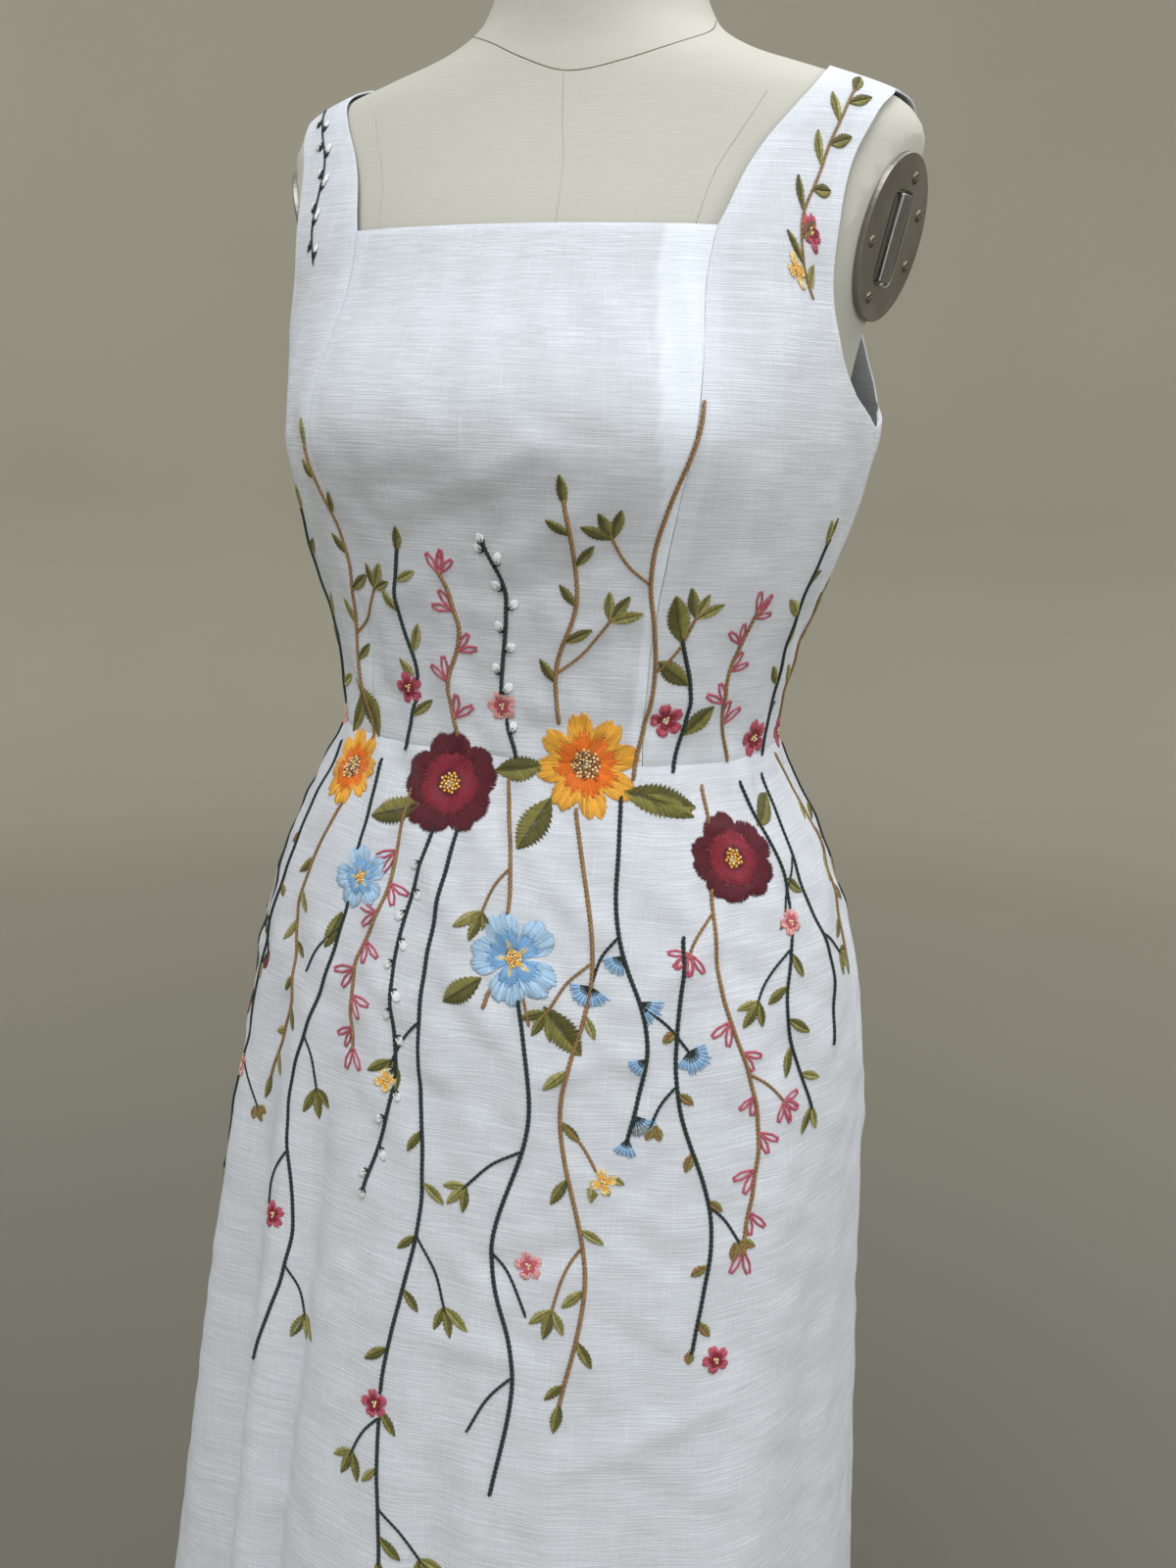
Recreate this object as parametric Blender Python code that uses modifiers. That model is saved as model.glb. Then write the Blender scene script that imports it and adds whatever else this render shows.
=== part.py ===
"""Sleeveless linen wedding dress with a square neck, on a smooth dress form and stand.

The dress is cut as a maker would cut it: a bodice of seven princess-seamed panels, of which four
run up into the straps, and an A-line skirt of three panels. Each panel is a cloth wall lofted
between its two seam lines and laid on the form with the ease that the cut gives it.
Metres, +Z up, +X to the wearer's left, the front faces -Y. Heights are measured from the floor.
"""

import math

import bmesh
import bpy
import numpy as np
from mathutils import Matrix, Vector

# Levels of the dress
HEM = 0.050
WAIST = 1.060
BUST = WAIST + 0.175
UNDERARM = WAIST + 0.180
BACK_NECKLINE = WAIST + 0.305

# Cloth
WALL = 0.0015
SEAM_GAP = 0.0003
SEAM_STRIP = 0.0012
BODICE_STRIP = 0.020
SKIRT_STRIP = 0.003

# The form's horizontal sections, bottom to neck
# height, half width, depth to the front, depth to the back, squareness, middle's set-back
FORM_SECTIONS = (
    (0.740, 0.158, 0.104, 0.108, 2.3, 0.000),
    (0.800, 0.169, 0.110, 0.122, 2.3, 0.000),
    (0.860, 0.172, 0.111, 0.127, 2.3, 0.000),
    (0.940, 0.163, 0.114, 0.112, 2.3, 0.000),
    (1.010, 0.141, 0.105, 0.090, 2.3, 0.000),
    (1.060, 0.125, 0.0975, 0.081, 2.4, 0.000),
    (1.110, 0.131, 0.099, 0.086, 2.4, 0.000),
    (1.170, 0.148, 0.107, 0.096, 2.35, 0.000),
    (1.235, 0.156, 0.115, 0.104, 2.3, 0.000),
    (1.270, 0.160, 0.107, 0.107, 2.15, 0.000),
    (1.308, 0.169, 0.092, 0.107, 2.0, 0.002),
    (1.343, 0.181, 0.082, 0.101, 2.0, 0.008),
    (1.373, 0.186, 0.072, 0.091, 2.0, 0.014),
    (1.397, 0.184, 0.066, 0.080, 2.0, 0.020),
    (1.411, 0.169, 0.064, 0.072, 2.0, 0.024),
    (1.424, 0.134, 0.062, 0.065, 2.0, 0.027),
    (1.436, 0.097, 0.060, 0.061, 2.0, 0.029),
    (1.448, 0.074, 0.059, 0.059, 2.0, 0.030),
    (1.462, 0.063, 0.058, 0.058, 2.0, 0.030),
    (1.500, 0.060, 0.058, 0.056, 2.0, 0.027),
    (1.540, 0.058, 0.059, 0.055, 2.0, 0.021),
)
FORM_AROUND = 48
# How the form's rings are shared out: height where a stretch ends, rings in it
FORM_RINGS = ((1.290, 13), (1.390, 7), (1.462, 13), (1.540, 3))
BUST_RISE = 0.013
BUST_AZIMUTH = math.radians(37)
BUST_SPREAD_AROUND = math.radians(17)
BUST_SPREAD_UP = 0.050

# Room between the form and the bodice
# height, ease
BODICE_EASE = ((1.060, 0.0050), (1.235, 0.0060), (1.330, 0.0050), (1.400, 0.0029), (1.500, 0.0029))
# How far the cloth stands off under each arm
ARMHOLE_STAND = 0.014
ARMHOLE_STAND_AZIMUTH = math.radians(104)
ARMHOLE_STAND_AROUND = math.radians(30)
ARMHOLE_STAND_UP = 0.065

# The skirt's sections, hem to waist, before its flutes
# height, half width, depth to the front, depth to the back, squareness, middle's set-back
SKIRT_SECTIONS = (
    (0.050, 0.274, 0.262, 0.268, 2.1, 0.000),
    (0.400, 0.234, 0.216, 0.222, 2.1, 0.000),
    (0.700, 0.209, 0.176, 0.184, 2.1, 0.000),
    (0.860, 0.192, 0.150, 0.152, 2.2, 0.000),
    (0.940, 0.178, 0.135, 0.132, 2.2, 0.000),
    (1.010, 0.152, 0.115, 0.100, 2.3, 0.000),
    (1.045, 0.1315, 0.1015, 0.084, 2.4, 0.000),
    (1.060, 0.125, 0.0975, 0.081, 2.4, 0.000),
)
# The skirt's soft flutes, as ridges between waist and hem; a negative one is a hollow
# azimuth in degrees, half width in degrees, rise at the hem, height where it starts
FLUTES = (
    (-8, 15, 0.018, 0.80),
    (22, 13, 0.014, 0.76),
    (47, 14, 0.022, 0.84),
    (78, 14, 0.014, 0.70),
    (97, 42, -0.036, 0.88),
    (107, 13, 0.014, 0.74),
    (129, 13, 0.019, 0.82),
    (153, 12, 0.024, 0.90),
    (178, 12, 0.020, 0.86),
    (203, 12, 0.024, 0.90),
    (229, 14, 0.018, 0.80),
    (256, 13, 0.023, 0.88),
    (283, 13, 0.022, 0.84),
    (303, 16, 0.030, 0.88),
    (331, 13, 0.017, 0.78),
)

# Seam lines on the wearer's left, from the waist up; the right side mirrors them
# across, forward, height
FRONT_PRINCESS = (
    (0.0765, 0.083, 1.060),
    (0.081, 0.088, 1.110),
    (0.093, 0.100, 1.170),
    (0.108, 0.110, 1.235),
    (0.107, 0.092, 1.285),
    (0.103, 0.068, 1.335),
)
FRONT_STRAP_INNER = (
    (0.113, 0.053, 1.363),
    (0.121, 0.034, 1.389),
    (0.131, 0.011, 1.412),
    (0.139, -0.012, 1.425),
)
SIDE_SEAM = (
    (0.129, -0.004, 1.060),
    (0.135, -0.005, 1.110),
    (0.151, -0.006, 1.170),
    (0.166, -0.008, 1.240),
)
FRONT_ARMHOLE = (
    (0.170, 0.020, 1.250),
    (0.168, 0.040, 1.274),
    (0.164, 0.045, 1.308),
    (0.164, 0.040, 1.343),
    (0.168, 0.028, 1.373),
    (0.175, 0.009, 1.400),
    (0.181, -0.012, 1.413),
)
BACK_PRINCESS = (
    (0.058, -0.072, 1.060),
    (0.062, -0.078, 1.110),
    (0.073, -0.088, 1.170),
    (0.085, -0.094, 1.235),
    (0.093, -0.099, 1.300),
    (0.099, -0.096, 1.365),
)
BACK_STRAP_INNER = (
    (0.108, -0.085, 1.390),
    (0.124, -0.054, 1.412),
    (0.139, -0.0125, 1.425),
)
BACK_ARMHOLE = (
    (0.170, -0.040, 1.252),
    (0.169, -0.064, 1.288),
    (0.168, -0.076, 1.328),
    (0.169, -0.072, 1.364),
    (0.174, -0.048, 1.398),
    (0.181, -0.0125, 1.413),
)

# Stand
BASE_RADIUS = 0.190
BASE_EDGE = 0.010
BASE_BOSS_RADIUS = 0.026
BASE_BOSS_TOP = 0.034
POLE_RADIUS = 0.0125
FLANGE_RADIUS = 0.045
FLANGE_THICKNESS = 0.010
REST_GAP = 0.0003

# Arm plates let into the form's sides
PLATE_CENTRE = (0.1735, -0.010, 1.3385)
PLATE_TILT = math.radians(13)
PLATE_TURN = math.radians(18)
PLATE_HALF_WIDTH = 0.031
PLATE_HALF_HEIGHT = 0.043
PLATE_THICKNESS = 0.0030
SLOT_HALF_WIDTH = 0.0105
SLOT_HALF_HEIGHT = 0.024
LEVER_HALF_WIDTH = 0.0055
LEVER_HALF_HEIGHT = 0.0225
LEVER_THICKNESS = 0.0050

# Zip slider and pull tab at the centre back
SLIDER_LEVEL = BACK_NECKLINE - 0.011
SLIDER_HALF = (0.0027, 0.0045, 0.0011)
CROWN_HALF_WIDTH = 0.0007
CROWN_POST_AT = 0.0021
CROWN_POST_HALF = 0.0003
CROWN_THICKNESS = 0.0005
PIVOT_RADIUS = 0.00055
PIVOT_HALF_LENGTH = 0.0020
PIVOT_CLEARANCE = 0.00015
PULL_HALF_WIDTH = 0.0021
PULL_LENGTH = 0.0210
PULL_THICKNESS = 0.0010
PULL_TIP_RADIUS = 0.0032
EYE_HALF_WIDTH = 0.0009
EYE_END = 0.0028

COLOURS = {
    "linen": (0.80, 0.81, 0.83, 1.0),
    "canvas": (0.72, 0.69, 0.58, 1.0),
    "steel": (0.30, 0.29, 0.27, 1.0),
    "bright_steel": (0.55, 0.55, 0.54, 1.0),
    "stand_metal": (0.10, 0.10, 0.10, 1.0),
    "zip_metal": (0.78, 0.79, 0.80, 1.0),
}
ROUGHNESS = {"linen": 0.9, "canvas": 0.85, "steel": 0.45, "bright_steel": 0.35}
METALLIC = {"steel": 0.9, "bright_steel": 1.0, "stand_metal": 0.6, "zip_metal": 0.2}

TABLE_SAMPLES = 1200


def smooth_table(rows):
    """Heights and a dense table of the other columns, on a cubic through the rows."""
    rows = np.array(rows)
    heights, values = rows[:, 0], rows[:, 1:]
    slopes = np.gradient(values, heights, axis=0)
    samples = np.linspace(heights[0], heights[-1], TABLE_SAMPLES)
    low = np.clip(np.searchsorted(heights, samples, side="right") - 1, 0, len(heights) - 2)
    step = heights[low + 1] - heights[low]
    t = ((samples - heights[low]) / step)[:, None]
    step = step[:, None]
    dense = (
        (2 * t**3 - 3 * t**2 + 1) * values[low]
        + (t**3 - 2 * t**2 + t) * step * slopes[low]
        + (3 * t**2 - 2 * t**3) * values[low + 1]
        + (t**3 - t**2) * step * slopes[low + 1]
    )
    return samples, dense


FORM_TABLE = smooth_table(FORM_SECTIONS)
SKIRT_TABLE = smooth_table(SKIRT_SECTIONS)


def set_back(height):
    """How far behind the axis the middle of the form's section is."""
    samples, dense = FORM_TABLE
    return np.interp(height, samples, dense[:, 4])


def section_radius(table, azimuth, height):
    """Distance from a section's middle to its outline; azimuth 0 is the front, 90 degrees is +X."""
    samples, dense = table
    half_width, front, back, squareness = (
        np.interp(height, samples, dense[:, column]) for column in range(4)
    )
    depth = np.where(np.cos(azimuth) > 0, front, back)
    across = np.abs(np.sin(azimuth)) / half_width
    along = np.abs(np.cos(azimuth)) / depth
    return (across**squareness + along**squareness) ** (-1 / squareness)


def signed(azimuth):
    """The azimuth between -pi and pi."""
    return (azimuth + math.pi) % (2 * math.pi) - math.pi


def bust(azimuth, height, bridged):
    """The bust's rise; cloth that is bridged doesn't dip between its two points."""
    beside = np.abs(signed(azimuth)) - BUST_AZIMUTH
    around = np.exp(-((beside / BUST_SPREAD_AROUND) ** 2))
    if bridged:
        around = np.where(beside < 0, 0.80 + 0.20 * around, around)
    return BUST_RISE * around * np.exp(-(((height - BUST) / BUST_SPREAD_UP) ** 2))


def form_radius(azimuth, height):
    """The dress form's surface."""
    return section_radius(FORM_TABLE, azimuth, height) + bust(azimuth, height, False)


def bodice_radius(azimuth, height):
    """The inner side of the bodice's cloth."""
    heights, ease = np.array(BODICE_EASE).T
    beside = (np.abs(signed(azimuth)) - ARMHOLE_STAND_AZIMUTH) / ARMHOLE_STAND_AROUND
    above = (height - UNDERARM) / ARMHOLE_STAND_UP
    stand = ARMHOLE_STAND * np.exp(-(beside**2) - above**2)
    surface = section_radius(FORM_TABLE, azimuth, height) + bust(azimuth, height, True)
    return surface + np.interp(height, heights, ease) + stand


def flute_rise(azimuth, height):
    """The rise of all of the skirt's flutes at a place."""
    rise = 0.0
    for middle, half_width, at_hem, start in FLUTES:
        beside = np.abs(signed(azimuth - math.radians(middle))) / math.radians(half_width)
        lobe = np.where(beside < 1, 0.5 + 0.5 * np.cos(math.pi * np.minimum(beside, 1)), 0.0)
        grown = np.clip((start - height) / (start - HEM), 0, 1)
        rise = rise + at_hem * lobe * grown * (1.6 - 0.6 * grown)
    return rise


def skirt_radius(azimuth, height):
    """The inner side of the skirt's cloth; it meets the bodice at the waist."""
    base = section_radius(SKIRT_TABLE, azimuth, height)
    return base + BODICE_EASE[0][1] + flute_rise(azimuth, height)


def at(radius, azimuth, height):
    """Points at a radius from the middle of their section."""
    forward = radius * np.cos(azimuth) - set_back(height)
    return np.stack([radius * np.sin(azimuth), -forward, height + 0 * azimuth], axis=-1)


def onto_bodice(points):
    """The points moved onto the bodice's inner surface, level up to the back neckline."""
    middle = np.zeros_like(points)
    middle[..., 2] = np.minimum(points[..., 2], BACK_NECKLINE)
    ray = points - middle
    low, high = np.full(points.shape[:-1], 0.5), np.full(points.shape[:-1], 1.6)
    for _ in range(36):
        mean = (low + high) / 2
        trial = middle + ray * mean[..., None]
        across, height = trial[..., 0], trial[..., 2]
        behind = trial[..., 1] - set_back(height)
        azimuth = np.arctan2(across, -behind)
        outside = np.hypot(across, behind) > bodice_radius(azimuth, height)
        high = np.where(outside, mean, high)
        low = np.where(outside, low, mean)
    return middle + ray * low[..., None]


def line_through(points, count):
    """Count points spaced evenly along a cubic through the given ones."""
    points = np.array(points)
    chord = np.concatenate([[0], np.cumsum(np.linalg.norm(np.diff(points, axis=0), axis=1))])
    _, dense = smooth_table(np.column_stack([chord, points]))
    length = np.concatenate([[0], np.cumsum(np.linalg.norm(np.diff(dense, axis=0), axis=1))])
    wanted = np.linspace(0, length[-1], count)
    return np.stack([np.interp(wanted, length, dense[:, k]) for k in range(3)], axis=1)


def seam_line(rows, side=1):
    """The rows of a seam as points; a forward distance is along -Y, side -1 mirrors it."""
    return [(side * across, -forward, height) for across, forward, height in rows]


def two_part_line(lower, upper, low_count, up_count):
    """A line whose first part has low_count points and whose rest has up_count more."""
    joint = lower[-1]
    first = line_through(lower, low_count)
    second = line_through([joint, *upper], up_count + 1)
    return np.concatenate([first, second[1:]])


def material(name):
    """The plain material of a finish."""
    found = bpy.data.materials.get(name)
    if found:
        return found
    made = bpy.data.materials.new(name)
    made.use_nodes = True
    shader = made.node_tree.nodes["Principled BSDF"]
    shader.inputs["Base Color"].default_value = COLOURS[name]
    shader.inputs["Roughness"].default_value = ROUGHNESS.get(name, 0.5)
    shader.inputs["Metallic"].default_value = METALLIC.get(name, 0.0)
    return made


def add_object(name, mesh, finish, collection):
    """A mesh as a named object of the dress."""
    mesh.materials.append(material(finish))
    obj = bpy.data.objects.new(name, mesh)
    collection.objects.link(obj)
    return obj


def grid_mesh(name, points):
    """A sheet through a grid of points, rows by columns."""
    rows, columns = points.shape[:2]
    mesh = bpy.data.meshes.new(name)
    sheet = bmesh.new()
    bmesh.ops.create_grid(sheet, x_segments=columns - 1, y_segments=rows - 1, size=1)
    sheet.verts.ensure_lookup_table()
    for index, vertex in enumerate(sheet.verts):
        vertex.co = points[index // columns, index % columns]
    sheet.to_mesh(mesh)
    sheet.free()
    return mesh


def cloth_panel(name, points, collection):
    """A wall of cloth on the outer side of a grid of points, whose columns run to the left."""
    mesh = grid_mesh(name, points)
    panel = add_object(name, mesh, "linen", collection)
    wall = panel.modifiers.new("wall", "SOLIDIFY")
    wall.thickness = WALL
    wall.offset = 1
    return panel


def shares(columns, strip):
    """Places from 0 to 1 with a narrow strip at each end, so that walls meet square at a seam."""
    return np.concatenate([[0, strip], np.linspace(0, 1, columns - 2)[1:-1], [1 - strip, 1]])


def between(first, last, columns):
    """A grid of points from one edge line to another, laid on the cloth's surface."""
    first, last = onto_bodice(first), onto_bodice(last)
    share = shares(columns, BODICE_STRIP)[None, :, None]
    return onto_bodice(first[:, None, :] * (1 - share) + last[:, None, :] * share)


def shrink_edges(points, sides, ends=(0, 0)):
    """The grid with its side columns, and its end rows where asked, half a seam gap further in."""
    half = SEAM_GAP / 2
    points = points.copy()
    for (edge, inside), wanted in zip(((0, 1), (-1, -2)), sides):
        if wanted:
            step = points[:, inside] - points[:, edge]
            points[:, edge] += step * (half / np.linalg.norm(step, axis=1))[:, None]
    for (edge, inside), wanted in zip(((0, 1), (-1, -2)), ends):
        if wanted:
            step = points[inside] - points[edge]
            points[edge] += step * (half / np.linalg.norm(step, axis=1))[:, None]
    return points


def with_waist_strip(points, at_top):
    """The grid with a narrow upright strip at the waist, so that the two walls meet square."""
    edge = points[-1] if at_top else points[0]
    strip = edge.copy()
    strip[:, 2] += -SEAM_STRIP if at_top else SEAM_STRIP
    if at_top:
        return np.concatenate([points[:-1], strip[None], edge[None]])
    return np.concatenate([edge[None], strip[None], points[1:]])


def left_and_right(name, points, collection, make_points_ends):
    """A panel on the wearer's left and its mirror image on the right."""
    for side, word in ((1, "left"), (-1, "right")):
        grid = shrink_edges(points, *make_points_ends)
        if side < 0:
            grid = grid[:, ::-1].copy()
            grid[..., 0] *= -1
        cloth_panel(f"{name}_{word}", with_waist_strip(grid, False), collection)


def bodice_panels(collection):
    """The seven panels of the bodice."""
    princess = seam_line(FRONT_PRINCESS)
    left_edge = line_through(princess, 14)
    right_edge = left_edge * (-1, 1, 1)
    front = between(right_edge, left_edge, 15)
    front = shrink_edges(front, (True, True), (True, False))
    cloth_panel("bodice_front_center", with_waist_strip(front, False), collection)

    inner = two_part_line(princess, seam_line(FRONT_STRAP_INNER), 14, 9)
    outer = two_part_line(seam_line(SIDE_SEAM), seam_line(FRONT_ARMHOLE), 11, 12)
    side_front = between(inner, outer, 9)
    left_and_right(
        "bodice_front_side", side_front, collection, ((True, True), (True, True))
    )

    back_princess = seam_line(BACK_PRINCESS)
    inner = two_part_line(back_princess, seam_line(BACK_STRAP_INNER), 16, 7)
    outer = two_part_line(seam_line(SIDE_SEAM), seam_line(BACK_ARMHOLE), 11, 12)
    side_back = between(outer, inner, 9)
    left_and_right("bodice_back_side", side_back, collection, ((True, True), (True, True)))

    centre_back = line_through(
        [(0, 0.085, WAIST), (0, 0.1, BUST), (0, 0.08, BACK_NECKLINE)], 16
    )
    centre_back[:, 0] = 0.00001
    back_edge = line_through(back_princess, 16)
    back = between(back_edge, centre_back, 8)
    left_and_right("bodice_back_center", back, collection, ((True, True), (True, False)))


def skirt_grid(start, end, columns, rows):
    """Points of a skirt panel between two azimuths in degrees, hem to waist."""
    azimuth = np.radians(start + (end - start) * shares(columns, SKIRT_STRIP))[None, :]
    fall = np.linspace(0, 1, rows) ** 0.75
    height = (HEM + (WAIST - HEM) * fall)[:, None]
    azimuth, height = np.broadcast_arrays(azimuth, height)
    return at(skirt_radius(azimuth, height), azimuth, height)


SIDE_SEAM_AZIMUTH = 92


def skirt_panels(collection):
    """The front panel and the two back panels of the skirt."""
    spans = (
        ("skirt_front", -SIDE_SEAM_AZIMUTH, SIDE_SEAM_AZIMUTH, 49),
        ("skirt_back_left", SIDE_SEAM_AZIMUTH, 180, 25),
        ("skirt_back_right", 180, 360 - SIDE_SEAM_AZIMUTH, 25),
    )
    for name, start, end, columns in spans:
        grid = skirt_grid(start, end, columns, 13)
        grid = shrink_edges(grid, (True, True), (False, True))
        cloth_panel(name, with_waist_strip(grid, True), collection)


def form_levels():
    """Heights of the form's rings, evenly spaced along its side in each stretch."""
    samples, dense = FORM_TABLE
    steps = np.hypot(np.diff(samples), np.diff(dense[:, 0]))
    along = np.concatenate([[0], np.cumsum(steps)])
    levels = [samples[:1]]
    start = along[0]
    for top, rings in FORM_RINGS:
        end = np.interp(top, samples, along)
        levels.append(np.interp(np.linspace(start, end, rings + 1)[1:], along, samples))
        start = end
    return np.concatenate(levels)


def form_torso(collection):
    """The dress form's torso and neck, with its sides cut flat for the arm plates."""
    levels = form_levels()
    azimuth = np.linspace(0, 2 * math.pi, FORM_AROUND + 1)[None, :]
    azimuth, height = np.broadcast_arrays(azimuth, levels[:, None])
    mesh = grid_mesh("form_torso", at(form_radius(azimuth, height), azimuth, height))
    skin = bmesh.new()
    skin.from_mesh(mesh)
    bmesh.ops.remove_doubles(skin, verts=skin.verts, dist=0.00001)
    bmesh.ops.holes_fill(skin, edges=[edge for edge in skin.edges if edge.is_boundary])
    for side in (1, -1):
        normal = plate_matrix(side).to_3x3() @ Vector((0, 0, 1))
        cut = bmesh.ops.bisect_plane(
            skin,
            geom=[*skin.verts, *skin.edges, *skin.faces],
            plane_co=plate_matrix(side).translation,
            plane_no=normal,
            clear_outer=True,
        )
        edges = [part for part in cut["geom_cut"] if isinstance(part, bmesh.types.BMEdge)]
        bmesh.ops.holes_fill(skin, edges=edges)
    skin.to_mesh(mesh)
    skin.free()
    return add_object("form_torso", mesh, "canvas", collection)


def plate_matrix(side):
    """The place of an arm plate's seat: its Z points out of the form's side."""
    across, forward, height = PLATE_CENTRE
    tilt = Matrix.Rotation(side * (math.pi / 2 + PLATE_TILT), 4, "Y")
    turn = Matrix.Rotation(-side * PLATE_TURN, 4, "Z")
    return Matrix.Translation((side * across, -forward, height)) @ turn @ tilt


def oval_plate(collection, side, word):
    """A steel oval with a slot through it, seated on the form's cut side."""
    plate = bmesh.new()
    bmesh.ops.create_cone(
        plate, cap_ends=True, segments=32, radius1=1, radius2=1, depth=PLATE_THICKNESS
    )
    size = Matrix.Diagonal((PLATE_HALF_HEIGHT, PLATE_HALF_WIDTH, 1, 1))
    bmesh.ops.transform(plate, matrix=size, verts=plate.verts)
    mesh = bpy.data.meshes.new("arm_plate")
    plate.to_mesh(mesh)
    plate.free()
    made = add_object(f"arm_plate_{word}", mesh, "steel", collection)
    lift = Matrix.Translation((0, 0, PLATE_THICKNESS / 2 + REST_GAP))
    made.matrix_world = plate_matrix(side) @ lift
    return made


def box_mesh(name, half_x, half_y, half_z):
    """A box as a mesh."""
    box = bmesh.new()
    bmesh.ops.create_cube(box, size=2)
    size = Matrix.Diagonal((half_x, half_y, half_z, 1))
    bmesh.ops.transform(box, matrix=size, verts=box.verts)
    mesh = bpy.data.meshes.new(name)
    box.to_mesh(mesh)
    box.free()
    return mesh


def arm_plates(collection, cutters):
    """An arm plate with its lever on each side of the form."""
    for side, word in ((1, "left"), (-1, "right")):
        plate = oval_plate(collection, side, word)
        mesh = box_mesh("slot", SLOT_HALF_HEIGHT, SLOT_HALF_WIDTH, PLATE_THICKNESS)
        add_tool(plate, mesh, plate.matrix_world, cutters, "DIFFERENCE")
        mesh = box_mesh("lever", LEVER_HALF_HEIGHT, LEVER_HALF_WIDTH, LEVER_THICKNESS / 2)
        lever = add_object(f"arm_lever_{word}", mesh, "bright_steel", collection)
        lift = Matrix.Translation((0, 0, LEVER_THICKNESS / 2 + REST_GAP))
        lever.matrix_world = plate_matrix(side) @ lift
        edge = lever.modifiers.new("edge", "BEVEL")
        edge.width = 0.0010
        edge.segments = 2


def turned(name, profile, finish, collection, steps=40):
    """A solid turned about Z from a profile of radius and height, top to bottom."""
    mesh = bpy.data.meshes.new(name)
    outline = bmesh.new()
    corners = [outline.verts.new((radius, 0, height)) for radius, height in profile]
    for first, second in zip(corners, corners[1:]):
        outline.edges.new((first, second))
    outline.to_mesh(mesh)
    outline.free()
    made = add_object(name, mesh, finish, collection)
    turn = made.modifiers.new("turn", "SCREW")
    turn.steps = steps
    turn.render_steps = steps
    turn.use_merge_vertices = True
    turn.merge_threshold = 0.0001
    return made


def stand(collection):
    """The base, the pole and the flange under the form."""
    base = (
        (0, BASE_BOSS_TOP),
        (BASE_BOSS_RADIUS, BASE_BOSS_TOP),
        (BASE_RADIUS - 0.004, BASE_EDGE + 0.002),
        (BASE_RADIUS, BASE_EDGE),
        (BASE_RADIUS, 0),
        (0, 0),
    )
    turned("stand_base", base, "stand_metal", collection)
    flange_top = FORM_SECTIONS[0][0] - REST_GAP
    flange_bottom = flange_top - FLANGE_THICKNESS
    flange = (
        (0, flange_top),
        (FLANGE_RADIUS, flange_top),
        (FLANGE_RADIUS, flange_bottom),
        (0, flange_bottom),
    )
    turned("stand_flange", flange, "stand_metal", collection, 32)
    pole = (
        (0, flange_bottom - REST_GAP),
        (POLE_RADIUS, flange_bottom - REST_GAP),
        (POLE_RADIUS, BASE_BOSS_TOP + REST_GAP),
        (0, BASE_BOSS_TOP + REST_GAP),
    )
    turned("stand_pole", pole, "stand_metal", collection, 24)


def add_tool(obj, mesh, place, cutters, operation):
    """A mesh joined to an object, or cut from it, by a Boolean."""
    tool = bpy.data.objects.new(f"{obj.name}_tool_{len(obj.modifiers)}", mesh)
    tool.matrix_world = place
    tool.hide_render = True
    tool.display_type = "WIRE"
    cutters.objects.link(tool)
    step = obj.modifiers.new(f"tool_{len(obj.modifiers)}", "BOOLEAN")
    step.operation = operation
    step.object = tool


def joined(name, parts, place, collection, cutters, operation):
    """The first of the parts as a metal object, with the others added to it or cut from it."""
    made = add_object(name, parts[0], "zip_metal", collection)
    made.matrix_world = place
    for mesh in parts[1:]:
        add_tool(made, mesh, place, cutters, operation)
    return made


def moved(mesh, x, y, z):
    """The mesh, moved."""
    mesh.transform(Matrix.Translation((x, y, z)))
    return mesh


def slider_matrix(lift):
    """A place on the slider's middle: its Z points out of the cloth and its Y up along it."""
    heights = np.array([SLIDER_LEVEL - 0.008, SLIDER_LEVEL + 0.008])
    back = np.full(2, math.pi)
    below, above = at(bodice_radius(back, heights) + WALL, back, heights)
    up = Vector(above - below).normalized()
    across = Vector((-1, 0, 0))
    out = across.cross(up)
    turn = Matrix((across, up, out)).transposed().to_4x4()
    place = Matrix.Translation((below + above) / 2) @ turn
    return place @ Matrix.Translation((0, 0, lift))


SLIDER_TOP = REST_GAP + 2 * SLIDER_HALF[2]
PIVOT_LIFT = SLIDER_TOP + PIVOT_RADIUS + PIVOT_CLEARANCE


def zip_slider(collection, cutters):
    """The slider with the crown that holds the pull tab's pivot."""
    crown_low = PIVOT_LIFT + PIVOT_RADIUS + PIVOT_CLEARANCE
    crown_top = crown_low + CROWN_THICKNESS
    half_post = (crown_top - SLIDER_TOP + 0.0003) / 2
    parts = [moved(box_mesh("slider", *SLIDER_HALF), 0, 0, REST_GAP + SLIDER_HALF[2])]
    for side in (1, -1):
        post = box_mesh("post", CROWN_HALF_WIDTH, CROWN_POST_HALF, half_post)
        parts.append(moved(post, 0, side * CROWN_POST_AT, crown_top - half_post))
    strip = box_mesh("strip", CROWN_HALF_WIDTH, CROWN_POST_AT, CROWN_THICKNESS / 2)
    parts.append(moved(strip, 0, 0, crown_top - CROWN_THICKNESS / 2))
    place = slider_matrix(0)
    joined("zip_slider", parts, place, collection, cutters, "UNION")


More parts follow.
